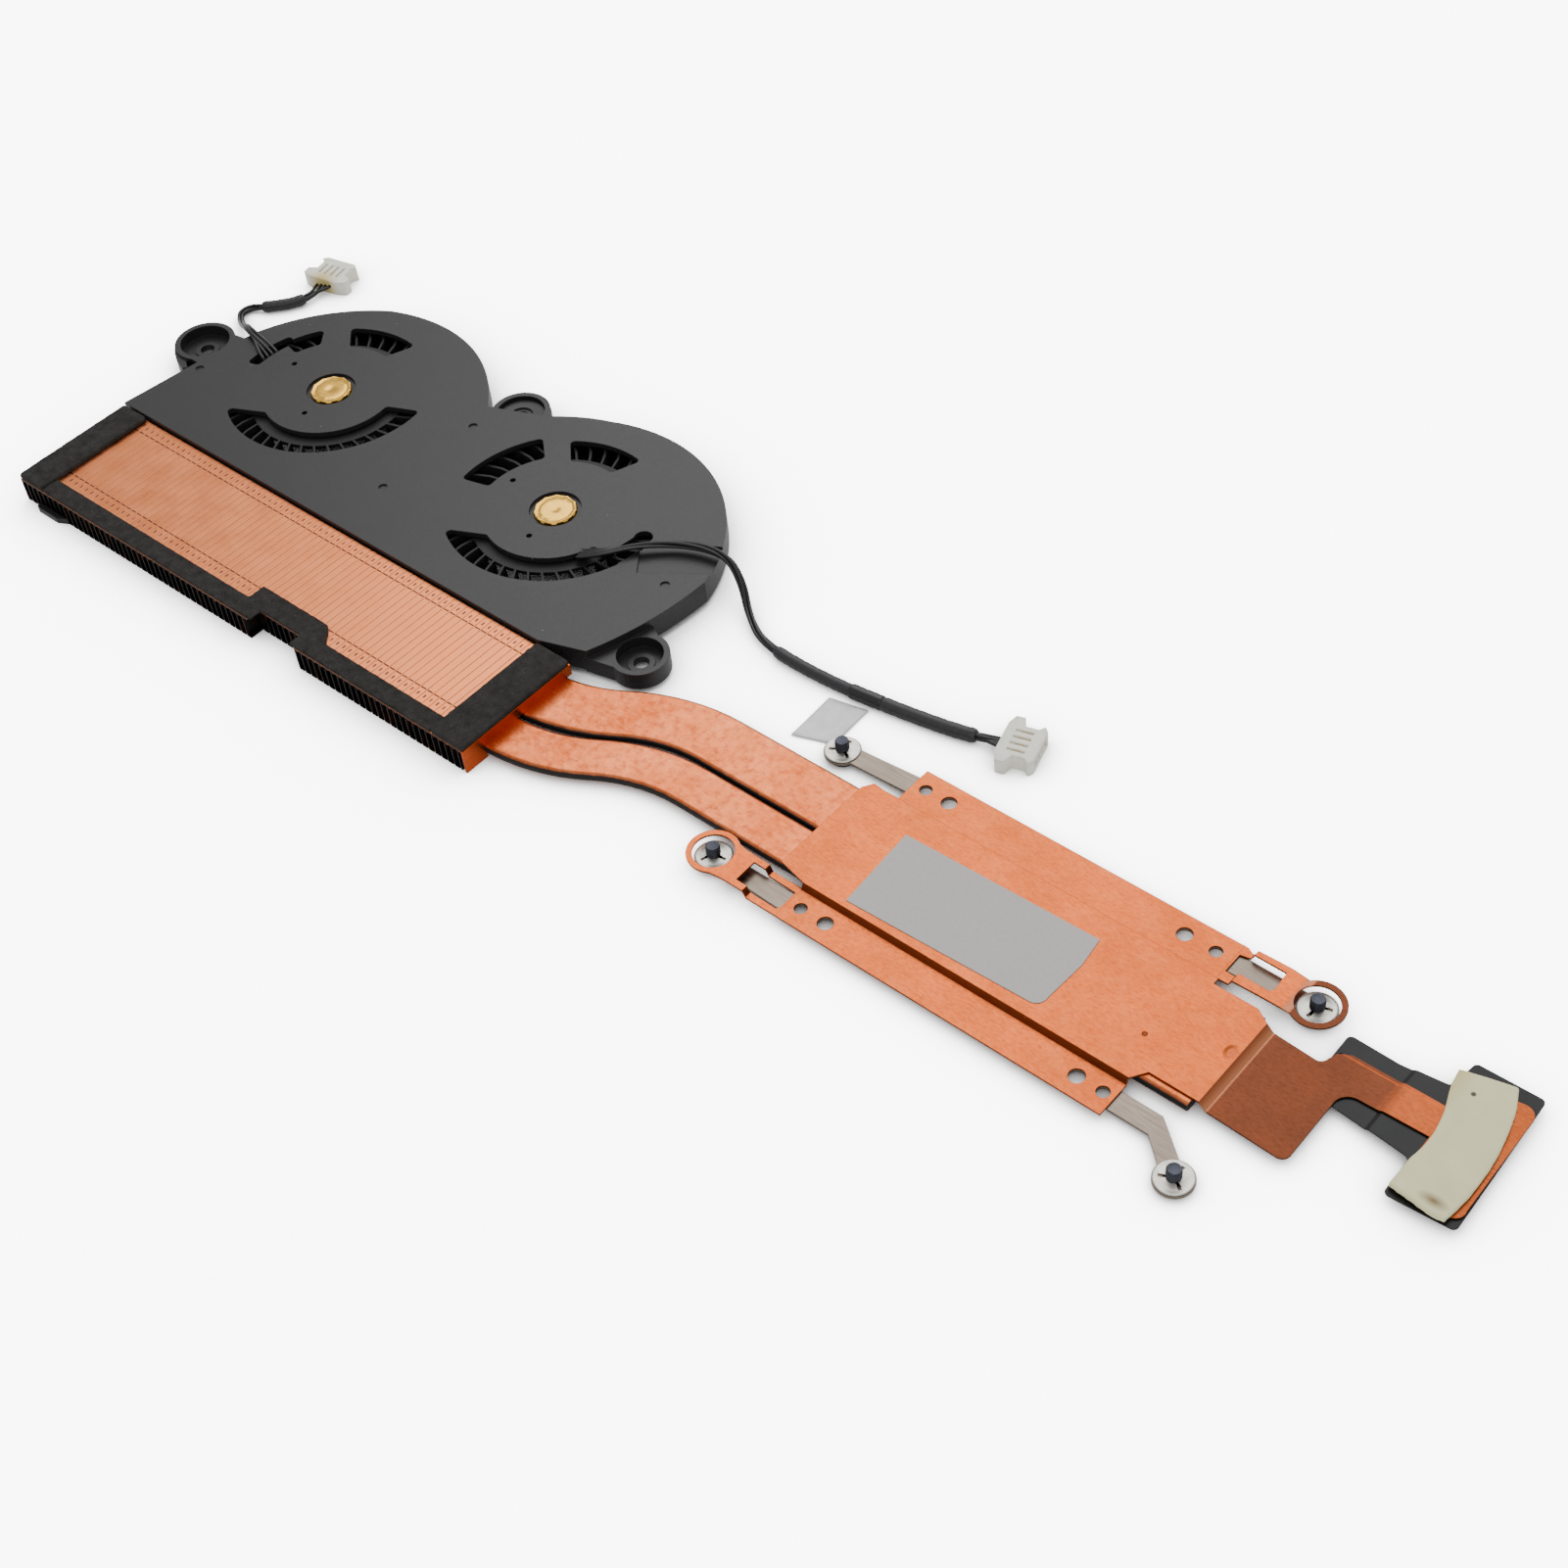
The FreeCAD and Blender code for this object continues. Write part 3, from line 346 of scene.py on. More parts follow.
studio = {
    "floorSize": 3.0,
    "floorGlow": 8.0,
    "keySize": 0.7,
    "keyPower": 3.0,
    "keyPlace": (-150.0, 380.0, 560.0),
    "fillSize": 0.8,
    "fillPower": 1.0,
    "fillPlace": (420.0, -420.0, 520.0),
    "worldStrength": 0.75,
}


# Materials: shared effects are node groups, and a small builder puts nodes down and joins them

def node(tree, kind, values=None, **settings):
    made = tree.nodes.new(kind)
    for key, value in settings.items():
        setattr(made, key, value)
    for key, value in (values or {}).items():
        if isinstance(value, bpy.types.NodeSocket):
            tree.links.new(value, made.inputs[key])
        else:
            made.inputs[key].default_value = value
    return made


def newGroup(name, inputs, outputs):
    tree = bpy.data.node_groups.new(name, "ShaderNodeTree")
    for title, kind, value in inputs:
        entry = tree.interface.new_socket(title, in_out="INPUT", socket_type=kind)
        if value is not None:
            entry.default_value = value
    for title, kind in outputs:
        tree.interface.new_socket(title, in_out="OUTPUT", socket_type=kind)
    return tree, tree.nodes.new("NodeGroupInput").outputs, tree.nodes.new("NodeGroupOutput").inputs


def mottleGroup():
    # clouds of two sizes, from 0 to 1
    tree, given, result = newGroup(
        "mottle", [("Vector", "NodeSocketVector", None), ("Scale", "NodeSocketFloat", 300.0), ("Contrast", "NodeSocketFloat", 2.0)],
        [("Value", "NodeSocketFloat")],
    )
    broad = node(tree, "ShaderNodeTexNoise", {"Vector": given["Vector"], "Scale": given["Scale"], "Detail": 4.0, "Roughness": 0.6})
    centred = node(tree, "ShaderNodeMath", {0: broad.outputs["Fac"], 1: 0.5}, operation="SUBTRACT")
    spread = node(tree, "ShaderNodeMath", {0: centred.outputs[0], 1: given["Contrast"], 2: 0.5}, operation="MULTIPLY_ADD", use_clamp=True)
    tree.links.new(spread.outputs[0], result["Value"])
    return tree


def brushedGroup():
    # fine lines along one axis: the coordinates are squeezed across it
    tree, given, result = newGroup(
        "brushed", [("Vector", "NodeSocketVector", None), ("Squeeze", "NodeSocketVector", (0.02, 1.0, 1.0)), ("Scale", "NodeSocketFloat", 9000.0)],
        [("Value", "NodeSocketFloat")],
    )
    squeezed = node(tree, "ShaderNodeVectorMath", {0: given["Vector"], 1: given["Squeeze"]}, operation="MULTIPLY")
    lines = node(tree, "ShaderNodeTexNoise", {"Vector": squeezed.outputs[0], "Scale": given["Scale"], "Detail": 3.0, "Roughness": 0.7})
    tree.links.new(lines.outputs["Fac"], result["Value"])
    return tree


def softEdgeGroup():
    # a normal that rounds hard edges, and a mask of those edges
    tree, given, result = newGroup("softEdge", [], [("Normal", "NodeSocketVector"), ("Edge", "NodeSocketFloat")])
    rounded = node(tree, "ShaderNodeBevel", {"Radius": 0.00012}, samples=4)
    geometry = node(tree, "ShaderNodeNewGeometry")
    along = node(tree, "ShaderNodeVectorMath", {0: rounded.outputs["Normal"], 1: geometry.outputs["Normal"]}, operation="DOT_PRODUCT")
    edge = node(tree, "ShaderNodeMapRange", {"Value": along.outputs["Value"], "From Min": 0.995, "From Max": 0.80, "To Min": 0.0, "To Max": 1.0})
    tree.links.new(rounded.outputs["Normal"], result["Normal"])
    tree.links.new(edge.outputs["Result"], result["Edge"])
    return tree


def speckGroup():
    # scattered small specks of dust
    tree, given, result = newGroup(
        "specks", [("Vector", "NodeSocketVector", None), ("Scale", "NodeSocketFloat", 1500.0), ("Size", "NodeSocketFloat", 0.12)],
        [("Mask", "NodeSocketFloat")],
    )
    cells = node(tree, "ShaderNodeTexVoronoi", {"Vector": given["Vector"], "Scale": given["Scale"]})
    chance = node(tree, "ShaderNodeSeparateColor", {"Color": cells.outputs["Color"]})
    allowed = node(tree, "ShaderNodeMath", {0: chance.outputs["Red"], 1: 0.72}, operation="GREATER_THAN")
    small = node(tree, "ShaderNodeMath", {0: cells.outputs["Distance"], 1: given["Size"]}, operation="LESS_THAN")
    both = node(tree, "ShaderNodeMath", {0: allowed.outputs[0], 1: small.outputs[0]}, operation="MULTIPLY")
    tree.links.new(both.outputs[0], result["Mask"])
    return tree


def spotGroup():
    # a soft-edged oval round a centre
    tree, given, result = newGroup(
        "spot", [("Vector", "NodeSocketVector", None), ("Centre", "NodeSocketVector", None), ("Size", "NodeSocketVector", (0.001, 0.001, 0.001)), ("Soft", "NodeSocketFloat", 0.3)],
        [("Mask", "NodeSocketFloat")],
    )
    offset = node(tree, "ShaderNodeVectorMath", {0: given["Vector"], 1: given["Centre"]}, operation="SUBTRACT")
    scaled = node(tree, "ShaderNodeVectorMath", {0: offset.outputs[0], 1: given["Size"]}, operation="DIVIDE")
    away = node(tree, "ShaderNodeVectorMath", {0: scaled.outputs[0]}, operation="LENGTH")
    inner = node(tree, "ShaderNodeMath", {0: 1.0, 1: given["Soft"]}, operation="SUBTRACT")
    mask = node(tree, "ShaderNodeMapRange", {"Value": away.outputs["Value"], "From Min": 1.0, "From Max": inner.outputs[0], "To Min": 0.0, "To Max": 1.0})
    tree.links.new(mask.outputs["Result"], result["Mask"])
    return tree


groups = {
    "mottle": mottleGroup(), "brushed": brushedGroup(), "softEdge": softEdgeGroup(),
    "specks": speckGroup(), "spot": spotGroup(),
}


def effect(tree, name, values=None):
    made = node(tree, "ShaderNodeGroup", node_tree=groups[name])
    for key, value in (values or {}).items():
        if isinstance(value, bpy.types.NodeSocket):
            tree.links.new(value, made.inputs[key])
        else:
            made.inputs[key].default_value = value
    return made.outputs


def mix(tree, factor, first, second):
    return node(tree, "ShaderNodeMix", {0: factor, 6: first, 7: second}, data_type="RGBA").outputs[2]


def shaded(colour, share):
    return tuple(min(1.0, c * share) for c in colour[:3]) + (1.0,)


def math2(tree, operation, first, second, clamp=False):
    return node(tree, "ShaderNodeMath", {0: first, 1: second}, operation=operation, use_clamp=clamp).outputs[0]


def spread(tree, value, low, high, low_to, high_to):
    values = {"Value": value, "From Min": low, "From Max": high, "To Min": low_to, "To Max": high_to}
    return node(tree, "ShaderNodeMapRange", values).outputs["Result"]


def newMaterial(name, metallic=0.0, roughness=0.5, specular=0.5):
    material = bpy.data.materials.new(name)
    material.use_nodes = True
    tree = material.node_tree
    shader = tree.nodes["Principled BSDF"]
    shader.inputs["Metallic"].default_value = metallic
    shader.inputs["Roughness"].default_value = roughness
    shader.inputs["Specular IOR Level"].default_value = specular
    places = node(tree, "ShaderNodeTexCoord").outputs["Object"]
    return material, tree, shader.inputs, places


def bump(tree, shader, height, distance, strength=1.0, normal=None):
    values = {"Height": height, "Distance": distance, "Strength": strength}
    if normal:
        values["Normal"] = normal
    tree.links.new(node(tree, "ShaderNodeBump", values).outputs["Normal"], shader["Normal"])


def mouldedPlastic(name, colour, roughness, dust=0.0):
    material, tree, shader, places = newMaterial(name, 0.0, roughness, 0.4)
    edges = effect(tree, "softEdge")
    clouds = effect(tree, "mottle", {"Vector": places, "Scale": 90.0, "Contrast": 1.6})["Value"]
    fine = effect(tree, "mottle", {"Vector": places, "Scale": 4200.0, "Contrast": 1.5})["Value"]
    shade = mix(tree, clouds, shaded(colour, 0.86), shaded(colour, 1.14))
    # painted highlight: the hard edges take a much lighter copy of the colour
    shade = mix(tree, math2(tree, "MULTIPLY", edges["Edge"], 0.35), shade, shaded(colour, 2.2))
    if dust:
        specks = effect(tree, "specks", {"Vector": places, "Scale": 420.0, "Size": 0.035})["Mask"]
        shade = mix(tree, math2(tree, "MULTIPLY", specks, dust), shade, tone(170, 168, 165))
    tree.links.new(shade, shader["Base Color"])
    tree.links.new(spread(tree, fine, 0.0, 1.0, roughness - 0.06, roughness + 0.08), shader["Roughness"])
    bump(tree, shader, fine, 0.000012, 0.5, edges["Normal"])
    return material


def brushedMetal(name, colour, roughness, squeeze, variation=0.12, edgeHighlight=None):
    material, tree, shader, places = newMaterial(name, 1.0, roughness)
    edges = effect(tree, "softEdge")
    lines = effect(tree, "brushed", {"Vector": places, "Squeeze": squeeze, "Scale": 5200.0})["Value"]
    clouds = effect(tree, "mottle", {"Vector": places, "Scale": 160.0, "Contrast": 1.8})["Value"]
    shade = mix(tree, clouds, shaded(colour, 1 - variation), shaded(colour, 1 + variation))
    shade = mix(tree, spread(tree, lines, 0.35, 0.7, 0.0, 0.35), shade, shaded(colour, 0.72))
    # painted highlight: the hard edges take a lighter colour, the one given for them or a lighter copy of the metal
    shade = mix(tree, math2(tree, "MULTIPLY", edges["Edge"], 0.6), shade, edgeHighlight or shaded(colour, 1.25))
    tree.links.new(shade, shader["Base Color"])
    tree.links.new(spread(tree, lines, 0.3, 0.7, roughness - 0.08, roughness + 0.12), shader["Roughness"])
    bump(tree, shader, lines, 0.000006, 0.5, edges["Normal"])
    return material


def foamMaterial():
    material, tree, shader, places = newMaterial("blackFoam", 0.0, 0.95, 0.15)
    pores = node(tree, "ShaderNodeTexVoronoi", {"Vector": places, "Scale": 4200.0}).outputs["Distance"]
    clouds = effect(tree, "mottle", {"Vector": places, "Scale": 700.0, "Contrast": 2.0})["Value"]
    specks = effect(tree, "specks", {"Vector": places, "Scale": 1300.0, "Size": 0.16})["Mask"]
    shade = mix(tree, clouds, tone(38, 37, 36), tone(60, 58, 56))
    # painted shade: the pores are darkened as if shade fell into them; they also shape the bump
    shade = mix(tree, spread(tree, pores, 0.1, 0.5, 0.55, 0.0), shade, tone(18, 18, 18))
    shade = mix(tree, math2(tree, "MULTIPLY", specks, 0.3), shade, tone(96, 92, 88))
    tree.links.new(shade, shader["Base Color"])
    height = math2(tree, "ADD", pores, clouds)
    bump(tree, shader, height, 0.00006, 0.9)
    return material


def finTopMaterial():
    material, tree, shader, places = newMaterial("finTopCopper", 1.0, 0.3)
    edges = effect(tree, "softEdge")
    lines = effect(tree, "brushed", {"Vector": places, "Squeeze": (1.0, 0.03, 1.0), "Scale": 4200.0})["Value"]
    clouds = effect(tree, "mottle", {"Vector": places, "Scale": 240.0, "Contrast": 1.8})["Value"]
    shade = mix(tree, clouds, (0.84, 0.245, 0.085, 1.0), (0.94, 0.32, 0.13, 1.0))
    shade = mix(tree, spread(tree, lines, 0.4, 0.75, 0.0, 0.35), shade, (0.70, 0.17, 0.05, 1.0))
    # painted highlight: the hard edges are lightened
    shade = mix(tree, math2(tree, "MULTIPLY", edges["Edge"], 0.5), shade, (0.95, 0.45, 0.22, 1.0))
    tree.links.new(shade, shader["Base Color"])
    tree.links.new(spread(tree, clouds, 0.0, 1.0, 0.25, 0.42), shader["Roughness"])
    bump(tree, shader, lines, 0.000006, 0.6, edges["Normal"])
    return material


def blackenedCopper(name, dark, warm, roughness=0.45):
    material, tree, shader, places = newMaterial(name, 0.7, roughness)
    clouds = effect(tree, "mottle", {"Vector": places, "Scale": 420.0, "Contrast": 2.6})["Value"]
    shade = mix(tree, spread(tree, clouds, 0.55, 1.0, 0.0, 1.0), dark, warm)
    tree.links.new(shade, shader["Base Color"])
    bump(tree, shader, clouds, 0.00002, 0.4)
    return material


def pipeMaterial():
    # burnished copper on the flat sides, black on the round ones
    material, tree, shader, places = newMaterial("pipeCopper", 1.0, 0.3)
    facing = node(tree, "ShaderNodeSeparateXYZ", {"Vector": node(tree, "ShaderNodeNewGeometry").outputs["Normal"]})
    upright = math2(tree, "ABSOLUTE", facing.outputs["Z"], 0.0)
    ragged = effect(tree, "mottle", {"Vector": places, "Scale": 900.0, "Contrast": 2.0})["Value"]
    limit = math2(tree, "ADD", upright, math2(tree, "MULTIPLY", ragged, 0.12))
    side = spread(tree, limit, 0.72, 0.97, 1.0, 0.0)
    clouds = effect(tree, "mottle", {"Vector": places, "Scale": 170.0, "Contrast": 2.6})["Value"]
    small = effect(tree, "mottle", {"Vector": places, "Scale": 850.0, "Contrast": 2.2})["Value"]
    lines = effect(tree, "brushed", {"Vector": places, "Squeeze": (0.35, 1.0, 1.0), "Scale": 2200.0})["Value"]
    shade = mix(tree, clouds, (0.55, 0.11, 0.022, 1.0), (0.74, 0.20, 0.07, 1.0))
    shade = mix(tree, spread(tree, small, 0.45, 0.9, 0.0, 0.5), shade, (0.40, 0.06, 0.012, 1.0))
    shade = mix(tree, spread(tree, lines, 0.5, 0.8, 0.0, 0.4), shade, (0.82, 0.33, 0.16, 1.0))
    shade = mix(tree, side, shade, tone(30, 26, 25))
    tree.links.new(shade, shader["Base Color"])
    roughness = math2(tree, "ADD", spread(tree, small, 0.0, 1.0, 0.24, 0.42), math2(tree, "MULTIPLY", side, 0.15))
    tree.links.new(roughness, shader["Roughness"])
    tree.links.new(spread(tree, side, 0.0, 1.0, 1.0, 0.5), shader["Metallic"])
    bump(tree, shader, math2(tree, "ADD", small, lines), 0.00002, 0.5)
    return material


plate = {
    "colour": (0.60, 0.125, 0.028, 1.0),
    "grainAndShadeColour": (0.44, 0.075, 0.014, 1.0),
    "paleColour": (0.74, 0.22, 0.07, 1.0),
    "tailShadeColour": (0.095, 0.031, 0.0166, 1.0),
    "stepHighlightColour": (0.62, 0.2, 0.075, 1.0),
    "stepEnd": 186.7,
    "rearFold": -13.6,
    "tailStart": 185.2,
    "tailShadeEases": 201.5,
    "dimple": (184.4, -21.9),
    "dot": (174.8, -25.8),
    "scratchAngle": 0.6,
}


def plateMaterial():
    # rolled copper with grain along its length, scratches and two small pressed marks, with painted shade on its tail,
    # its right side, its steep faces and its rear fold, and painted highlights on its tail step and edges
    material, tree, shader, places = newMaterial("plateCopper", 1.0, 0.3)
    edges = effect(tree, "softEdge")
    grain = effect(tree, "brushed", {"Vector": places, "Squeeze": (0.4, 1.0, 1.0), "Scale": 3600.0})["Value"]
    broad = effect(tree, "brushed", {"Vector": places, "Squeeze": (0.6, 1.0, 1.0), "Scale": 420.0})["Value"]
    clouds = effect(tree, "mottle", {"Vector": places, "Scale": 130.0, "Contrast": 2.2})["Value"]
    turned = node(tree, "ShaderNodeVectorRotate", {"Vector": places, "Angle": plate["scratchAngle"]}, rotation_type="Z_AXIS").outputs[0]
    scratch = effect(tree, "brushed", {"Vector": turned, "Squeeze": (0.02, 1.0, 1.0), "Scale": 1900.0})["Value"]
    scratch = spread(tree, scratch, 0.70, 0.76, 0.0, 1.0)
    across = node(tree, "ShaderNodeSeparateXYZ", {"Vector": places})
    tail = spread(tree, across.outputs["X"], mm(plate["tailStart"], 0).x, mm(plate["tailStart"] + 1, 0).x, 0.0, 1.0)
    end = spread(tree, across.outputs["X"], mm(plate["tailShadeEases"], 0).x, mm(plate["tailShadeEases"] + 2, 0).x, 1.0, 0.5)
    step = math2(tree, "MULTIPLY", tail, spread(tree, across.outputs["X"], mm(plate["stepEnd"] - 0.3, 0).x, mm(plate["stepEnd"], 0).x, 1.0, 0.0))
    shadeToRight = spread(tree, across.outputs["X"], mm(135, 0).x, mm(plate["tailStart"], 0).x, 0.0, 0.3)
    facing = node(tree, "ShaderNodeSeparateXYZ", {"Vector": node(tree, "ShaderNodeNewGeometry").outputs["True Normal"]})
    steepShade = spread(tree, math2(tree, "ABSOLUTE", facing.outputs["Z"], 0.0), 0.6, 0.97, 1.0, 0.0)
    tailShade = math2(tree, "MULTIPLY", math2(tree, "MULTIPLY", tail, end), spread(tree, clouds, 0.0, 1.0, 0.9, 1.0))
    shade = mix(tree, clouds, shaded(plate["colour"], 0.82), shaded(plate["colour"], 1.12))
    shade = mix(tree, spread(tree, grain, 0.38, 0.72, 0.0, 0.45), shade, plate["grainAndShadeColour"])
    shade = mix(tree, spread(tree, broad, 0.45, 0.75, 0.0, 0.3), shade, plate["paleColour"])
    # painted shade: the plate darkens towards its right end, away from the broad highlight at its left
    shade = mix(tree, shadeToRight, shade, plate["grainAndShadeColour"])
    # painted shade: the tail, which slopes away from the light, is darkened, and half as much towards its end
    shade = mix(tree, tailShade, shade, plate["tailShadeColour"])
    fromFold = math2(tree, "ABSOLUTE", math2(tree, "SUBTRACT", across.outputs["Y"], mm(0, plate["rearFold"]).y), 0.0)
    # painted shade: a thin dark line along the rear fold, where the step down lies hidden in shade
    shade = mix(tree, spread(tree, fromFold, 0.00006, 0.00014, 0.55, 0.0), shade, plate["grainAndShadeColour"])
    # painted shade: steep faces, such as cut edges and step walls, are darkened
    shade = mix(tree, math2(tree, "MULTIPLY", steepShade, 0.75), shade, tone(70, 30, 20))
    # painted light: the step down to the tail is lightened and made less metallic, standing in for light falling on it
    shade = mix(tree, math2(tree, "MULTIPLY", step, 0.8), shade, plate["stepHighlightColour"])
    tree.links.new(spread(tree, step, 0.0, 1.0, 1.0, 0.35), shader["Metallic"])
    shade = mix(tree, math2(tree, "MULTIPLY", scratch, 0.4), shade, (0.8, 0.32, 0.14, 1.0))
    dimple = effect(tree, "spot", {"Vector": places, "Centre": mm(*plate["dimple"], -2.3), "Size": (0.0009, 0.0012, 0.002), "Soft": 0.5})["Mask"]
    dot = effect(tree, "spot", {"Vector": places, "Centre": mm(*plate["dot"], -2.3), "Size": (0.0004, 0.0004, 0.002), "Soft": 0.5})["Mask"]
    shade = mix(tree, math2(tree, "MULTIPLY", dimple, 0.35), shade, tone(120, 66, 46))
    shade = mix(tree, math2(tree, "MULTIPLY", dot, 0.8), shade, tone(70, 40, 30))
    # painted highlight: the hard edges are lightened
    shade = mix(tree, math2(tree, "MULTIPLY", edges["Edge"], 0.4), shade, (0.8, 0.3, 0.12, 1.0))
    tree.links.new(shade, shader["Base Color"])
    tree.links.new(spread(tree, grain, 0.3, 0.7, 0.22, 0.42), shader["Roughness"])
    height = math2(tree, "SUBTRACT", math2(tree, "MULTIPLY", grain, 0.1), math2(tree, "MULTIPLY", dimple, 2.0))
    height = math2(tree, "SUBTRACT", height, math2(tree, "MULTIPLY", dot, 1.5))
    height = math2(tree, "SUBTRACT", height, math2(tree, "MULTIPLY", scratch, 0.15))
    bump(tree, shader, height, 0.00008, 0.7, edges["Normal"])
    return material


def filmMaterial(name, colour, roughness, specular=0.5, grainScale=1200.0):
    material, tree, shader, places = newMaterial(name, 0.0, roughness, specular)
    edges = effect(tree, "softEdge")
    waves = effect(tree, "mottle", {"Vector": places, "Scale": 220.0, "Contrast": 1.4})["Value"]
    fine = effect(tree, "mottle", {"Vector": places, "Scale": grainScale, "Contrast": 1.6})["Value"]
    specks = effect(tree, "specks", {"Vector": places, "Scale": 500.0, "Size": 0.05})["Mask"]
    shade = mix(tree, fine, shaded(colour, 0.93), shaded(colour, 1.05))
    shade = mix(tree, math2(tree, "MULTIPLY", specks, 0.3), shade, shaded(colour, 0.5))
    tree.links.new(shade, shader["Base Color"])
    tree.links.new(spread(tree, waves, 0.0, 1.0, roughness - 0.05, roughness + 0.1), shader["Roughness"])
    bump(tree, shader, math2(tree, "ADD", waves, math2(tree, "MULTIPLY", fine, 0.2)), 0.00004, 0.4, edges["Normal"])
    return material


pad = {
    "colour": tone(232, 228, 180),
    "edgeColour": tone(206, 186, 112),
    "stain": (213.6, -25.6),
    "stainSize": (0.0022, 0.0010, 0.003),
    "dot": (209.7, -10.3),
}


def padMaterial():
    material, tree, shader, places = newMaterial("palePad", 0.0, 0.6, 0.35)
    clouds = effect(tree, "mottle", {"Vector": places, "Scale": 260.0, "Contrast": 2.0})["Value"]
    fine = effect(tree, "mottle", {"Vector": places, "Scale": 2600.0, "Contrast": 1.6})["Value"]
    across = node(tree, "ShaderNodeSeparateXYZ", {"Vector": places})
    leftEdge = spread(tree, across.outputs["X"], mm(206.4, 0).x, mm(209.0, 0).x, 1.0, 0.0)
    shade = mix(tree, clouds, shaded(pad["colour"], 0.93), shaded(pad["colour"], 1.05))
    shade = mix(tree, math2(tree, "MULTIPLY", leftEdge, 0.7), shade, pad["edgeColour"])
    stain = effect(tree, "spot", {"Vector": places, "Centre": mm(*pad["stain"], -2.3), "Size": pad["stainSize"], "Soft": 0.9})["Mask"]
    specks = effect(tree, "specks", {"Vector": places, "Scale": 700.0, "Size": 0.06})["Mask"]
    shade = mix(tree, math2(tree, "MULTIPLY", specks, 0.35), shade, tone(120, 112, 88))
    dot = effect(tree, "spot", {"Vector": places, "Centre": mm(*pad["dot"], -2.3), "Size": (0.0004, 0.0004, 0.003), "Soft": 0.4})["Mask"]
    shade = mix(tree, math2(tree, "MULTIPLY", stain, 0.85), shade, tone(112, 80, 40))
    shade = mix(tree, math2(tree, "MULTIPLY", dot, 0.9), shade, tone(30, 28, 24))
    tree.links.new(shade, shader["Base Color"])
    shader["Subsurface Weight"].default_value = 0.1
    shader["Subsurface Radius"].default_value = (0.001, 0.0008, 0.0005)
    bump(tree, shader, math2(tree, "ADD", clouds, math2(tree, "MULTIPLY", fine, 0.3)), 0.00005, 0.5)
    return material


def polymer(name, colour, roughness, specular=0.5, glow=0.0, tintAndHighlight=None):
    # wires, sleeves, tape and plugs: smooth plastic with faint handling marks, and a spot of other colour about one
    # place: on the sleeve a painted highlight, on the plug a tint
    material, tree, shader, places = newMaterial(name, 0.0, roughness, specular)
    clouds = effect(tree, "mottle", {"Vector": places, "Scale": 700.0, "Contrast": 1.8})["Value"]
    shade = mix(tree, clouds, shaded(colour, 0.85), shaded(colour, 1.12))
    if tintAndHighlight:
        centre, reach, spotColour = tintAndHighlight
        near = effect(tree, "spot", {"Vector": places, "Centre": mm(*centre), "Size": (reach * 0.001,) * 3, "Soft": 0.6})["Mask"]
        shade = mix(tree, near, shade, spotColour)
    tree.links.new(shade, shader["Base Color"])
    tree.links.new(spread(tree, clouds, 0.0, 1.0, roughness - 0.08, roughness + 0.1), shader["Roughness"])
    if glow:
        shader["Subsurface Weight"].default_value = glow
        shader["Subsurface Radius"].default_value = (0.0012, 0.001, 0.0008)
    bump(tree, shader, clouds, 0.00002, 0.4)
    return material


def floorMaterial():
    material, tree, shader, places = newMaterial("paleFloor", 0.0, 0.7, 0.2)
    fine = effect(tree, "mottle", {"Vector": places, "Scale": 60.0, "Contrast": 0.6})["Value"]
    tree.links.new(mix(tree, fine, (0.86, 0.86, 0.86, 1), (0.9, 0.9, 0.9, 1)), shader["Base Color"])
    # the floor shines for the camera alone, and its glow fades where something stands close above it: a painted shadow
    # under and round the object
    seen = node(tree, "ShaderNodeLightPath").outputs["Is Camera Ray"]
    openSky = node(tree, "ShaderNodeAmbientOcclusion", {"Distance": 0.03}, samples=8).outputs["AO"]
    openSky = math2(tree, "POWER", openSky, 2.8)
    shader["Emission Color"].default_value = (1, 1, 1, 1)
    glow = math2(tree, "MULTIPLY", math2(tree, "MULTIPLY", seen, openSky), studio["floorGlow"])
    tree.links.new(glow, shader["Emission Strength"])
    return material


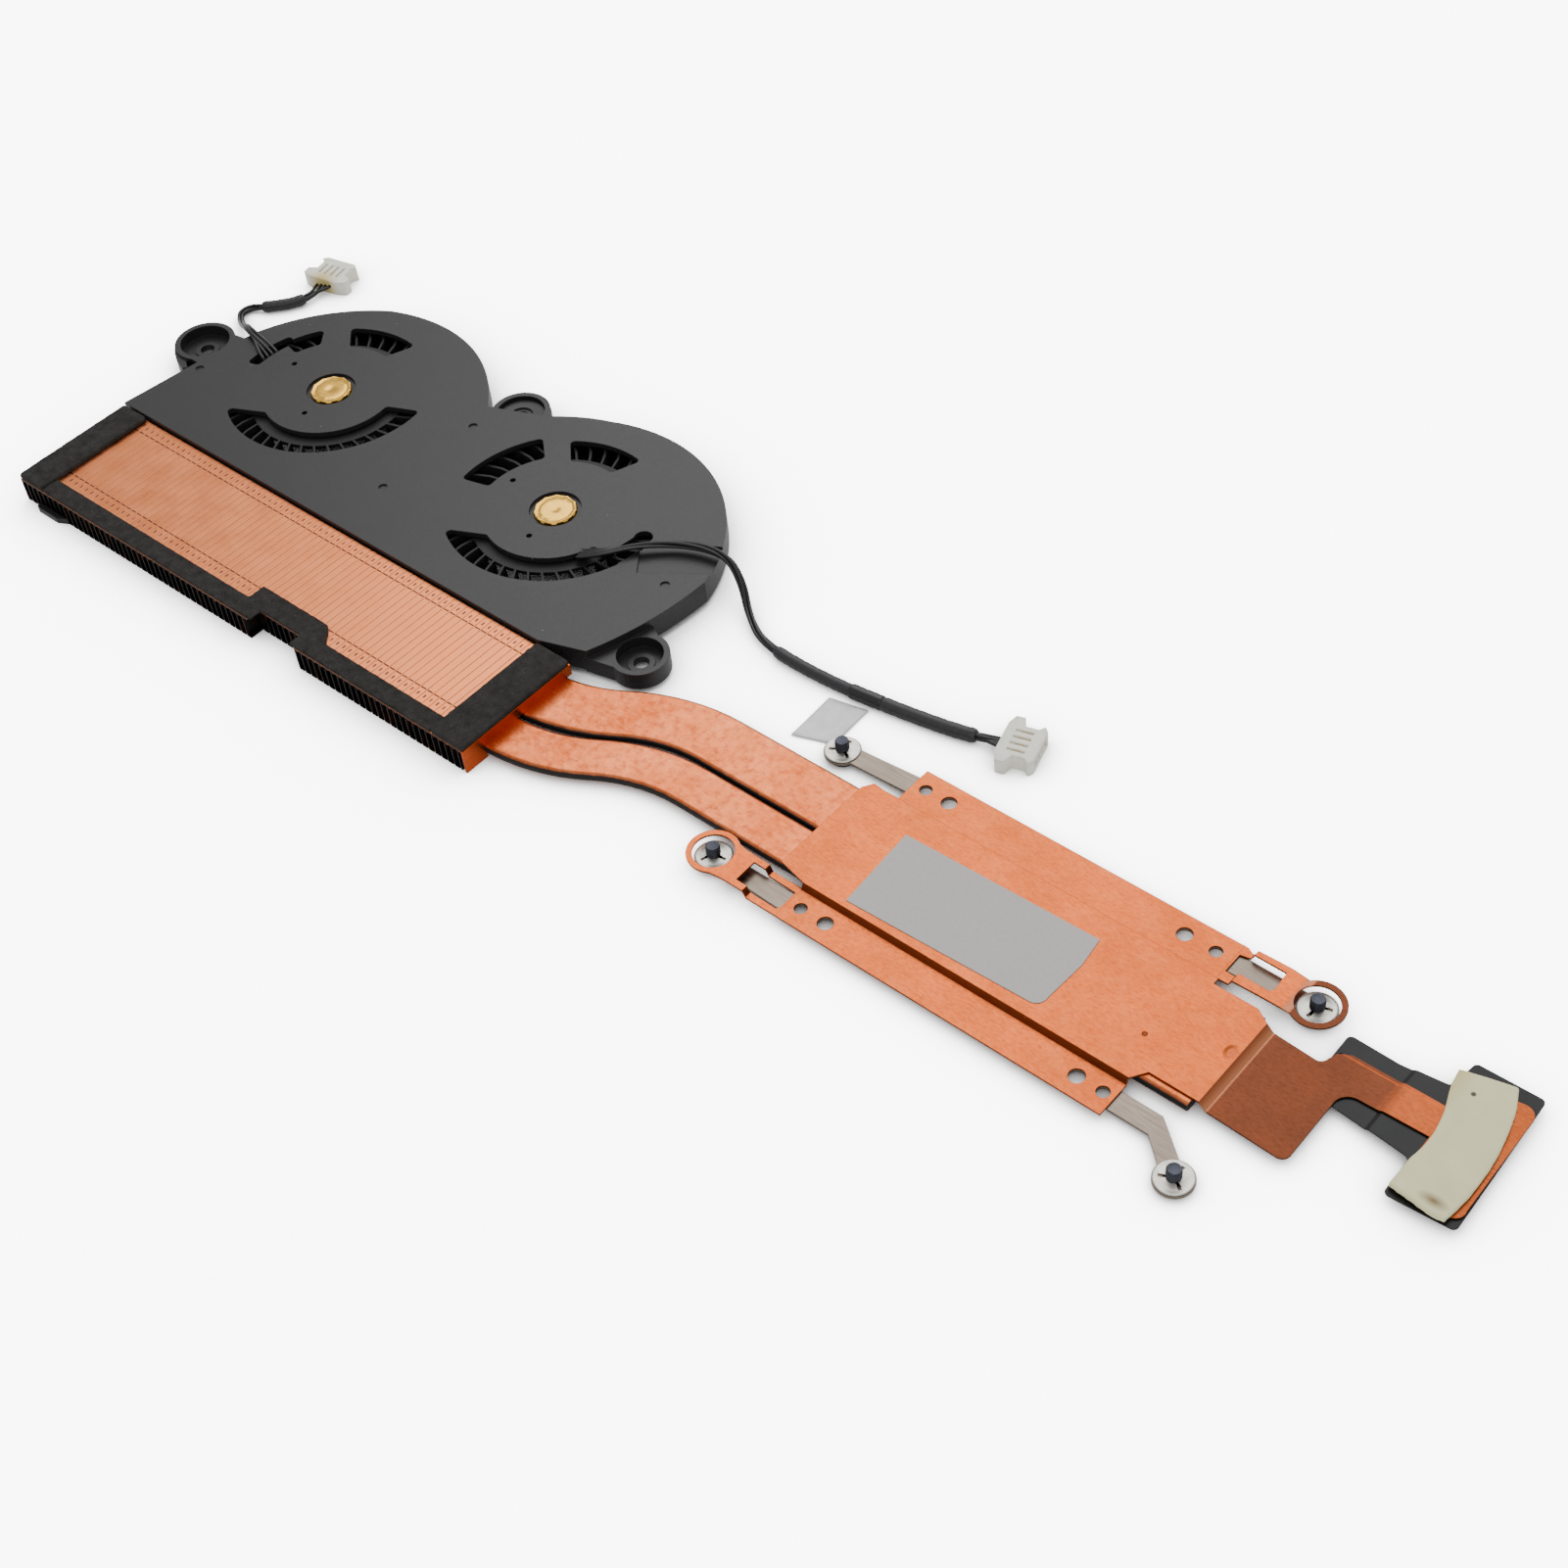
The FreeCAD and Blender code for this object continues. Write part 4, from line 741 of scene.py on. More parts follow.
materials = {
    "housing": mouldedPlastic("housingPlastic", tone(33, 31, 32), 0.36, 0.7),
    "impeller": mouldedPlastic("impellerPlastic", tone(22, 22, 22), 0.55),
    "cover": brushedMetal("coverSteel", tone(150, 150, 152), 0.35, (0.03, 1.0, 1.0)),
    "foam": foamMaterial(),
    "finTop": finTopMaterial(),
    "finBlack": blackenedCopper("finBlack", tone(20, 17, 17), tone(74, 42, 32)),
    "finEnd": brushedMetal("finEndCopper", (0.60, 0.10, 0.02, 1.0), 0.32, (1.0, 0.04, 1.0), 0.2),
    "finMark": blackenedCopper("finMark", (0.10, 0.035, 0.02, 1.0), (0.34, 0.13, 0.07, 1.0), 0.4),
    "pipe": pipeMaterial(),
    "plate": plateMaterial(),
    "film": filmMaterial("greyFilm", tone(186, 182, 178), 0.5, 0.35, 1800.0),
    "blackFilm": filmMaterial("blackFilm", tone(18, 18, 19), 0.3, 0.25),
    "spring": brushedMetal("springSteel", tone(132, 120, 108), 0.34, (0.04, 1.0, 1.0), 0.15),
    # the screw and the cap pass their own painted highlight colour for the edges
    "screw": brushedMetal("screwBlack", tone(62, 64, 72), 0.28, (1.0, 1.0, 0.1), 0.25, tone(150, 152, 162)),
    "washer": brushedMetal("washerSteel", tone(206, 203, 194), 0.34, (0.2, 1.0, 1.0), 0.1),
    "cap": brushedMetal("capBrass", (0.80, 0.46, 0.075, 1.0), 0.2, (0.3, 1.0, 1.0), 0.12, (0.8, 0.52, 0.14, 1.0)),
    "bearing": brushedMetal("bearingBronze", tone(140, 96, 60), 0.5, (1.0, 1.0, 1.0), 0.2),
    "shaft": brushedMetal("shaftSteel", tone(190, 190, 190), 0.18, (1.0, 1.0, 0.1)),
    "stator": brushedMetal("statorCopper", tone(170, 92, 52), 0.4, (1.0, 1.0, 0.05), 0.25),
    "magnet": blackenedCopper("magnetDark", tone(40, 40, 42), tone(70, 70, 72), 0.6),
    "pad": padMaterial(),
    "wire": polymer("wireBlack", leads["wireColour"], 0.32),
    # painted highlight: the sleeve's bluish spot near its start stands for a sheen
    "sleeve": polymer("sleeveBlack", leads["sleeveColour"], 0.45, tintAndHighlight=((92.4, -1.0, -3.4), 2.6, tone(40, 48, 78))),
    "tape": polymer("tapeBlack", leads["tapeColour"], 0.3),
    "plug": polymer(
        "plugWhite", leads["plugColour"], 0.35, 0.5, 0.4, tintAndHighlight=((-26.9, 21.0, -3.6), 3.4, tone(214, 196, 128)),
    ),
    "contact": brushedMetal("plugContact", tone(190, 160, 110), 0.3, (1.0, 1.0, 1.0)),
    "tag": polymer("tagWhite", leads["tagColour"], 0.55),
    "floor": floorMaterial(),
}
print("materials made:", len(materials))


def dressed(nodeName, material):
    # a CAD solid that stays as it is gets its material
    solid = frame["nodes"][nodeName]
    solid.data.materials.clear()
    solid.data.materials.append(materials[material])
    for place in solid.material_slots:
        place.link = "OBJECT"
        place.material = materials[material]


# Leads, sleeves, plugs and tag

def tubeBetween(name, line, first, last, radiusAt, material):
    mesh = sleeveMesh(name, line, first * 0.001, last * 0.001, radiusAt)
    return addObject(name, mesh, materials[material])


def contactStrips(name, nodeName, line, ways=4, pitch=1.2):
    # four small metal contacts that show in the slots of a plug
    ahead = (line[-1] - line[-2]).normalized()
    side = ahead.cross(Vector((0, 0, 1))).normalized()
    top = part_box(nodeName)[1].z
    corners = []
    faces = []
    for k in range(ways):
        centre = line[-1] + ahead * 0.0027 + side * (k - (ways - 1) / 2) * pitch * 0.001
        for along, height in ((-0.0011, -0.0006), (-0.0004, -0.0003), (0.0005, -0.0003), (0.0011, -0.0006)):
            for half in (-0.00016, 0.00016):
                place = centre + ahead * along + side * half
                corners.append((place.x, place.y, top + height))
        base = k * 8
        faces += [(base + 2 * i, base + 2 * i + 1, base + 2 * i + 3, base + 2 * i + 2) for i in range(3)]
    return addObject(name, meshFrom(name, corners, faces), materials["contact"])


def makeLead(name, route, sleeves, plugNode):
    line = routeLine(name + "Line", route)
    wires = addObject(name + "_wires", strands(name, line), materials["wire"])
    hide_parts(name)
    extras = []
    for title, replaced, first, last, radiusAt, material in sleeves:
        piece = tubeBetween(title, line, first, last, radiusAt, material)
        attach(piece, "cooler")
        if replaced:
            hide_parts(replaced)
        extras.append(piece)
    body = softEdged(plugNode + "_body", plugNode, 0.14, 2, 28, materials["plug"])
    contacts = contactStrips(plugNode + "_contacts", plugNode, line)
    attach(contacts, "cooler")
    extras += [body, contacts]
    return line, wires, extras


def makeTag():
    # a thin blank tag that curls up slightly at one corner
    corners = [mm(105.9, -2.9), mm(111.9, -1.7), mm(112.2, -9.4), mm(106.3, -11.5)]
    steps = 14
    places = []
    for i in range(steps + 1):
        for j in range(steps + 1):
            u, v = i / steps, j / steps
            flat = corners[0].lerp(corners[1], u).lerp(corners[3].lerp(corners[2], u), v)
            curl = 0.35 * max(0.0, u - 0.5) ** 2 + 0.5 * max(0.0, v - 0.6) ** 2 * (1 - u)
            places.append(Vector((flat.x, flat.y, (0.14 + curl) * 0.001)))
    faces = [
        (i * (steps + 1) + j, i * (steps + 1) + j + 1, (i + 1) * (steps + 1) + j + 1, (i + 1) * (steps + 1) + j)
        for i in range(steps) for j in range(steps)
    ]
    mesh = meshFrom("tag", places, faces)
    solid = bmesh.new()
    solid.from_mesh(mesh)
    bmesh.ops.solidify(solid, geom=solid.faces[:], thickness=0.0001)
    solid.to_mesh(mesh)
    solid.free()
    tag = addObject("tag_blank", mesh, materials["tag"])
    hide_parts("lead_tag")
    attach(tag, "cooler")
    return tag


rightLength = lengthsAlong(routeLine("rightRough", rightRoute))[-1] * 1000
leftLength = lengthsAlong(routeLine("leftRough", leftRoute))[-1] * 1000
rightLine, rightWires, rightExtras = makeLead("lead_right", rightRoute, [
    ("sleeve_long", "sleeve_right", rightLength - 37.0, rightLength - 22.6, lambda share: 0.92, "sleeve"),
    ("sleeve_tape", None, rightLength - 23.4, rightLength - 18.0, lambda share: 1.08, "tape"),
    ("sleeve_wide", None, rightLength - 18.4, rightLength - 3.6, lambda share: 1.04, "sleeve"),
], "plug_right")
leftLine, leftWires, leftExtras = makeLead("lead_left", leftRoute, [
    ("sleeve_short", "sleeve_left", leftLength - 11.6, leftLength - 4.4, lambda share: 0.92, "sleeve"),
], "plug_left")
noteLead("lead_right", rightLine, rightWires, rightExtras + [makeTag()])
noteLead("lead_left", leftLine, leftWires, leftExtras)
print("leads made")


# Foam strips and the pad: soft-edged copies of their solids, remeshed and a little uneven

soft = {
    "foam": {"cell": 0.18, "smooth": 6, "uneven": 0.05, "scale": 900.0},
    "pad": {"cell": 0.16, "smooth": 7, "uneven": 0.05, "scale": 300.0},
}


def softPiece(name, nodeName, kind, material):
    solid = frame["nodes"][nodeName]
    mesh = solid.data.copy()
    mesh.materials.clear()
    piece = addObject(name, mesh, materials[material])
    remesh = piece.modifiers.new("remesh", "REMESH")
    remesh.mode = "VOXEL"
    remesh.voxel_size = soft[kind]["cell"] * 0.001
    relax = piece.modifiers.new("relax", "SMOOTH")
    relax.iterations = soft[kind]["smooth"]
    relax.factor = 0.6
    shaped = bpy.data.meshes.new_from_object(piece.evaluated_get(bpy.context.evaluated_depsgraph_get()))
    piece.modifiers.clear()
    piece.data = shaped
    shaped.name = name
    shaped.materials.clear()
    shaped.materials.append(materials[material])
    low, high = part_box(nodeName)
    places = []
    for vertex in shaped.vertices:
        spot = vertex.co * soft[kind]["scale"]
        waves = noise.noise(spot) + 0.5 * noise.noise(spot * 3.1)
        place = vertex.co + vertex.normal * waves * soft[kind]["uneven"] * 0.001
        places += [min(max(place[i], low[i] - 0.00005), high[i] + 0.00005) for i in range(3)]
    shaped.vertices.foreach_set("co", places)
    for face in shaped.polygons:
        face.use_smooth = True
    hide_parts(nodeName)
    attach(piece, "cooler")
    return piece


softPiece("foam_strip_left", "foam_left", "foam", "foam")
softPiece("foam_strip_right", "foam_right", "foam", "foam")
softPiece("foam_strip_front", "foam_front", "foam", "foam")
softPiece("tail_pad_soft", "tail_pad", "pad", "pad")
print("foams and pad made")


# Fin stack: one folded copper leaf per fin, black below and bright on top, with two rows of interlocks

fins = {
    "left": -25.0,
    "length": 100.0,
    "pitch": 1.3,
    "sheet": 0.2,
    "top": -0.8,
    "bottom": -4.9,
    "overPipes": -2.6,
    "front": -43.2,
    "lipBack": -39.25,
    "back": -22.1,
    "foot": 0.85,
    "leafGap": 0.03,
    "leafStep": 0.03,
    "dashRows": (-24.6, -37.6),
    "dash": (1.0, 0.16),
    "tickRows": (-23.5, -38.7),
    "tick": (0.22, 0.6),
    "frontDot": (0.45, 0.2),
    "notch": (30.4, 38.9, -41.0),
    "endPlate": 0.4,
}


def addBlock(corners, faces, marks, low, high, mark):
    base = len(corners)
    (x0, y0, z0), (x1, y1, z1) = low, high
    corners += [mm(x, y, z) for z in (z0, z1) for x, y in ((x0, y0), (x1, y0), (x1, y1), (x0, y1))]
    sides = [(0, 3, 2, 1), (4, 5, 6, 7), (0, 1, 5, 4), (1, 2, 6, 5), (2, 3, 7, 6), (3, 0, 4, 7)]
    faces += [tuple(base + k for k in side) for side in sides]
    marks += [mark] * 6


def makeFins():
    corners, faces, marks = [], [], []
    count = int((fins["length"] - fins["endPlate"]) / fins["pitch"])
    notchLeft, notchRight, notchBack = fins["notch"]
    for i in range(count + 1):
        left = fins["left"] + i * fins["pitch"]
        last = i == count
        right = min(left + fins["pitch"], fins["left"] + fins["length"] - fins["endPlate"])
        inNotch = right > notchLeft and left < notchRight
        front = notchBack if inNotch else fins["front"]
        top = fins["top"]
        # the leaf's top, a little lower at its left edge, where the next leaf laps over it
        base = len(corners)
        for y in (front, fins["back"]):
            corners += [
                mm(left + 0.02, y, top - fins["leafStep"]), mm(right - fins["leafGap"], y, top),
                mm(right - fins["leafGap"], y, top - 0.24), mm(left + 0.02, y, top - 0.24),
            ]
        for side in ((0, 1, 5, 4), (1, 2, 6, 5), (2, 3, 7, 6), (3, 0, 4, 7), (0, 3, 2, 1), (4, 5, 6, 7)):
            faces.append(tuple(base + k for k in side))
        marks += [0, 0, 0, 0, 1, 0]
        # upright leaf: full height along the front lip, short over the pipes
        addBlock(corners, faces, marks, (left, front, fins["bottom"]), (left + fins["sheet"], fins["lipBack"], top - 0.2), 1)
        addBlock(corners, faces, marks, (left, fins["lipBack"], fins["overPipes"]), (left + fins["sheet"], fins["back"], top - 0.2), 1)
        if not last:
            # curled foot
            for part, (start, stop, low, high) in enumerate(((0.0, 0.45, 0.0, 0.16), (0.45, 0.85, 0.0, 0.2))):
                addBlock(
                    corners, faces, marks, (left + 0.1 + start, front, fins["bottom"] + low),
                    (left + 0.1 + stop, fins["lipBack"], fins["bottom"] + high), 1,
                )
        # interlocks: a pressed dash across each leaf, and a slanted tick beside it
        middle = (left + right) / 2
        for row in fins["dashRows"]:
            length, width = fins["dash"]
            low = (middle - length / 2, row - width / 2, top - 0.02)
            addBlock(corners, faces, marks, low, (middle + length / 2, row + width / 2, top + 0.015), 1)
        for row in fins["tickRows"]:
            width, length = fins["tick"]
            low = (middle - width / 2, row - length / 2, top - 0.02)
            addBlock(corners, faces, marks, low, (middle + width / 2, row + length / 2, top + 0.02), 3)
        # bright fold of the leaf under the front foam
        width, height = fins["frontDot"]
        low = (middle - width / 2, front - 0.015, top - 0.12 - height)
        addBlock(corners, faces, marks, low, (middle + width / 2, front + 0.05, top - 0.12), 3)
    right = fins["left"] + fins["length"]
    addBlock(corners, faces, marks, (right - fins["endPlate"] + 0.02, fins["front"], fins["bottom"]), (right, fins["lipBack"], fins["top"]), 2)
    addBlock(corners, faces, marks, (right - fins["endPlate"] + 0.02, fins["lipBack"], fins["overPipes"]), (right, fins["back"], fins["top"]), 2)
    mesh = meshFrom("finStack", corners, faces, smooth=False)
    for name in ("finTop", "finBlack", "finEnd", "finMark"):
        mesh.materials.append(materials[name])
    for face, mark in zip(mesh.polygons, marks):
        face.material_index = mark
    stack = addObject("fin_stack_leaves", mesh)
    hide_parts("fin_stack")
    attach(stack, "cooler")


makeFins()
print("fins made")


# Screws with cut threads, and dished washers

screws = {
    "places": ((113.2, -34.8), (114.6, -10.3), (188.4, -9.5), (188.7, -39.8)),
    "threadRadius": 1.0,
    "rootRadius": 0.87,
    "pitch": 0.45,
    "threadFrom": -3.2,
    "tip": -1.6,
    "slitTurns": (8, -26, 24, -31),
    "washerInner": 0.86,
    "washerOuter": 2.5,
    "washerBottom": -3.6,
    "washerSheet": 0.18,
    "washerDish": 0.16,
    "slitReach": 1.85,
    "slitHalfAngle": 9.0,
}


def makeScrews():
    source = frame["nodes"]["captive_screws"].data.copy()
    source.materials.clear()
    solid = bmesh.new()
    solid.from_mesh(source)
    cut = bmesh.ops.bisect_plane(
        solid, geom=solid.verts[:] + solid.edges[:] + solid.faces[:], plane_co=mm(0, 0, screws["threadFrom"] - 0.02),
        plane_no=(0, 0, 1), clear_outer=True,
    )
    solid.to_mesh(source)
    solid.free()
    around, perTurn = 28, 8
    height = screws["tip"] - screws["threadFrom"]
    rows = int(height / screws["pitch"] * perTurn)
    threads = []
    for x, y in screws["places"]:
        corners, faces = [], []
        for i in range(rows + 1):
            z = screws["threadFrom"] + height * i / rows
            taper = min(1.0, 0.86 + (screws["tip"] - z) * 0.5)
            for k in range(around):
                turn = 2 * math.pi * k / around
                phase = ((z - screws["threadFrom"]) / screws["pitch"] - k / around) % 1.0
                ridge = 1 - abs(2 * phase - 1) ** 1.5
                radius = (screws["rootRadius"] + (screws["threadRadius"] - screws["rootRadius"]) * ridge) * taper
                corners.append(mm(x + radius * math.cos(turn), y + radius * math.sin(turn), z))
        for i in range(rows):
            for k in range(around):
                a, b = i * around + k, i * around + (k + 1) % around
                faces.append((a, b, b + around, a + around))
        # a slightly hollow tip
        last = rows * around
        corners += [mm(x + 0.5 * math.cos(2 * math.pi * k / around), y + 0.5 * math.sin(2 * math.pi * k / around), screws["tip"] - 0.06) for k in range(around)]
        faces += [(last + k, last + (k + 1) % around, last + around + (k + 1) % around, last + around + k) for k in range(around)]
        faces.append(tuple(last + around + k for k in range(around)))
        threads.append(meshFrom("thread", corners, faces))
    whole = joined("screws", [source] + threads)
    smoothByAngle(whole, 40)
    piece = addObject("captive_screws_threaded", whole, materials["screw"])
    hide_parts("captive_screws")
    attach(piece, "cooler")


def makeWashers():
    around = 72
    radii = [0.86, 1.0, 1.25, 1.55, 1.85, 2.0, 2.2, 2.38, 2.47, 2.5]
    corners, faces = [], []
    for (x, y), slitTurn in zip(screws["places"], screws["slitTurns"]):
        base = len(corners)
        for radius in radii:
            share = max(0.0, 1 - (radius - screws["washerInner"]) / (screws["slitReach"] - screws["washerInner"]))
            rim = 0.05 * math.exp(-((radius - 2.3) / 0.12) ** 2) - 0.06 * max(0.0, (radius - 2.4) / 0.1)
            z = screws["washerBottom"] + screws["washerSheet"] + screws["washerDish"] * share ** 1.3 + rim
            for k in range(around):
                turn = 2 * math.pi * k / around
                corners.append(mm(x + radius * math.cos(turn), y + radius * math.sin(turn), z))
        for i in range(len(radii) - 1):
            for k in range(around):
                degrees = (k + 0.5) * 360 / around
                nearest = min(abs((degrees - slit + 180) % 360 - 180) for slit in (slitTurn, slitTurn + 120, slitTurn + 240))
                if radii[i] < screws["slitReach"] and nearest < screws["slitHalfAngle"] / radii[i] * 1.2:
                    continue
                a, b = base + i * around + k, base + i * around + (k + 1) % around
                faces.append((a, a + around, b + around, b))
    mesh = meshFrom("washers", corners, faces)
    solid = bmesh.new()
    solid.from_mesh(mesh)
    bmesh.ops.recalc_face_normals(solid, faces=solid.faces)
    if sum(face.normal.z for face in solid.faces) < 0:
        bmesh.ops.reverse_faces(solid, faces=solid.faces[:])
    bmesh.ops.solidify(solid, geom=solid.faces[:], thickness=screws["washerSheet"] * 0.001)
    solid.to_mesh(mesh)
    solid.free()
    smoothByAngle(mesh, 38)
    piece = addObject("washers_dished", mesh, materials["washer"])
    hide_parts("retaining_washers")
    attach(piece, "cooler")


makeScrews()
makeWashers()
print("screws and washers made")


# Brass caps with a crimped rim

caps = {
    "flats": 11,
    "pointsPerFlat": 8,
    "cornerRise": 0.05,
    # radius, height and how far the ring is pressed into flats
    "rings": (
        (3.33, -0.45, 0.0), (3.34, -0.25, 0.3), (3.28, -0.04, 1.0), (3.16, 0.03, 1.0), (2.98, 0.03, 1.0),
        (2.84, -0.02, 1.0), (2.66, -0.10, 0.8), (2.5, -0.08, 0.4), (2.3, -0.02, 0.1), (2.1, 0.0, 0.0),
        (1.2, -0.02, 0.0), (0.55, -0.03, 0.0), (0.45, -0.06, 0.0), (0.12, -0.06, 0.0),
    ),
}


def makeCap(name, fanX):
    around = caps["flats"] * caps["pointsPerFlat"]
    sector = 2 * math.pi / caps["flats"]
    corners = []
    faces = []
    for radius, z, pressed in caps["rings"]:
        for k in range(around):
            turn = 2 * math.pi * k / around
            flat = math.cos(sector / 2) / math.cos(turn % sector - sector / 2)
            reach = radius * (1 - pressed + pressed * flat)
            rise = caps["cornerRise"] * pressed * (flat - math.cos(sector / 2)) / (1 - math.cos(sector / 2))
            corners.append(mm(fanX + reach * math.cos(turn), reach * math.sin(turn), z + rise - caps["cornerRise"] / 2))
    rings = len(caps["rings"])
    for i in range(rings - 1):
        for k in range(around):
            first = i * around + k
            second = i * around + (k + 1) % around
            faces.append((first, first + around, second + around, second))
    last = (rings - 1) * around
    faces.append(tuple(last + k for k in range(around)))
    faces.append(tuple(range(around))[::-1])
    mesh = meshFrom(name, corners, faces)
    smoothByAngle(mesh, 24)
    piece = addObject(name + "_crimped", mesh, materials["cap"])
    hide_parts(name)
    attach(piece, "cooler")


makeCap("bearing_cap_left", 0.0)
makeCap("bearing_cap_right", fanPitch)
print("caps made")


# Floor of the middle ear, which lies higher than the solid's own and carries the hole that the photograph shows

earFloor = {
    "centre": (28.1, 14.6),
    "rings": (  # radius and height round a closed section
        (1.2, -3.15), (1.2, -2.3), (1.75, -2.3), (1.82, -2.02), (3.7, -1.96), (3.7, -3.15),
    ),
    "around": 48,
}


def makeEarFloor():
    x, y = earFloor["centre"]
    rings = earFloor["rings"]
    around = earFloor["around"]
    corners = []
    faces = []
    for radius, z in rings:
        for k in range(around):
            turn = 2 * math.pi * k / around
            corners.append(mm(x + radius * math.cos(turn), y + radius * math.sin(turn), z))
    for i in range(len(rings)):
        inner = i * around
        outer = (i + 1) % len(rings) * around
        for k in range(around):
            after = (k + 1) % around
            faces.append((inner + k, outer + k, outer + after, inner + after))
    mesh = meshFrom("ear_floor", corners, faces)
    smoothByAngle(mesh, 24)
    piece = addObject("ear_floor", mesh, materials["housing"])
    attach(piece, "cooler")


makeEarFloor()

# Contact plate: the CAD sheet, with arms that step up to their rings in place of its flat ones

arms = {
    "sheet": 0.3,
    "level": -3.3,
    "rise": 1.0,
    "ring": 3.65,
    "hole": 2.85,
    "ringPoints": 48,
    # where the sheet is cut, the sides that are taken away, where the arm rises, and its outline round the ring's arc
    "front": {
        "cut": 126.5,
        "side": -1,
        "beyond": (-99.0, -31.0),
        "bend": (121.5, 121.0),
        "centre": (113.5, -35.05),
        "arc": (54.0, 302.0),
        "outline": ((117.6, -37.9), (126.5, -37.9), (126.5, -32.4), (119.0, -32.4), (116.8, -32.3)),
        "window": ((119.1, -33.3), (119.15, -36.9), (125.8, -36.95), (126.2, -36.6), (126.15, -33.45)),
    },
    "rear": {
        "cut": 176.3,
        "side": 1,
        "beyond": (-13.6, 99.0),
        "bend": (178.0, 178.5),
        "centre": (188.55, -9.8),
        "arc": (-122.0, 136.0),
        "outline": (
            (183.3, -7.0), (178.5, -7.1), (177.7, -7.2), (176.9, -6.75), (176.3, -6.75), (176.3, -13.05),
            (177.0, -12.95), (184.3, -12.85),
        ),
        "window": ((176.6, -8.3), (176.6, -11.45), (182.9, -11.6), (183.3, -10.9), (183.05, -8.0), (178.2, -7.95)),
    },
}


def arcPoints(centre, radius, first, last, count):
    turns = [math.radians(first + (last - first) * k / count) for k in range(count + 1)]
    return [(centre[0] + radius * math.cos(turn), centre[1] + radius * math.sin(turn)) for turn in turns]


def armMesh(name, plan):
    data = bpy.data.curves.new(name, "CURVE")
    data.dimensions = "2D"
    data.fill_mode = "BOTH"
    data.extrude = arms["sheet"] / 2 * 0.001
    ring = arcPoints(plan["centre"], arms["ring"], *plan["arc"], arms["ringPoints"])
    hole = arcPoints(plan["centre"], arms["hole"], 0.0, 360.0, arms["ringPoints"])[:-1]
    for loop in (ring + list(plan["outline"]), plan["window"], hole):
        spline = data.splines.new("POLY")
        spline.points.add(len(loop) - 1)
        for knot, place in zip(spline.points, loop):
            knot.co = (*mm(*place).xy, 0.0, 1.0)
        spline.use_cyclic_u = True
    thing = bpy.data.objects.new(name, data)
    bpy.context.scene.collection.objects.link(thing)
    mesh = bpy.data.meshes.new_from_object(thing)
    bpy.data.objects.remove(thing)
    solid = bmesh.new()
    solid.from_mesh(mesh)
    low, high = (mm(x, 0).x for x in plan["bend"])
    for x in (low, high):
        bmesh.ops.bisect_plane(solid, geom=solid.verts[:] + solid.edges[:] + solid.faces[:], plane_co=(x, 0, 0), plane_no=(1, 0, 0))
    bmesh.ops.remove_doubles(solid, verts=solid.verts, dist=0.000001)
    middle = mm(0, 0, arms["level"] - arms["sheet"] / 2).z
    for vertex in solid.verts:
        share = min(max((vertex.co.x - low) / (high - low), 0.0), 1.0)
        vertex.co.z += middle + arms["rise"] * share * 0.001
    solid.to_mesh(mesh)
    solid.free()
    return mesh


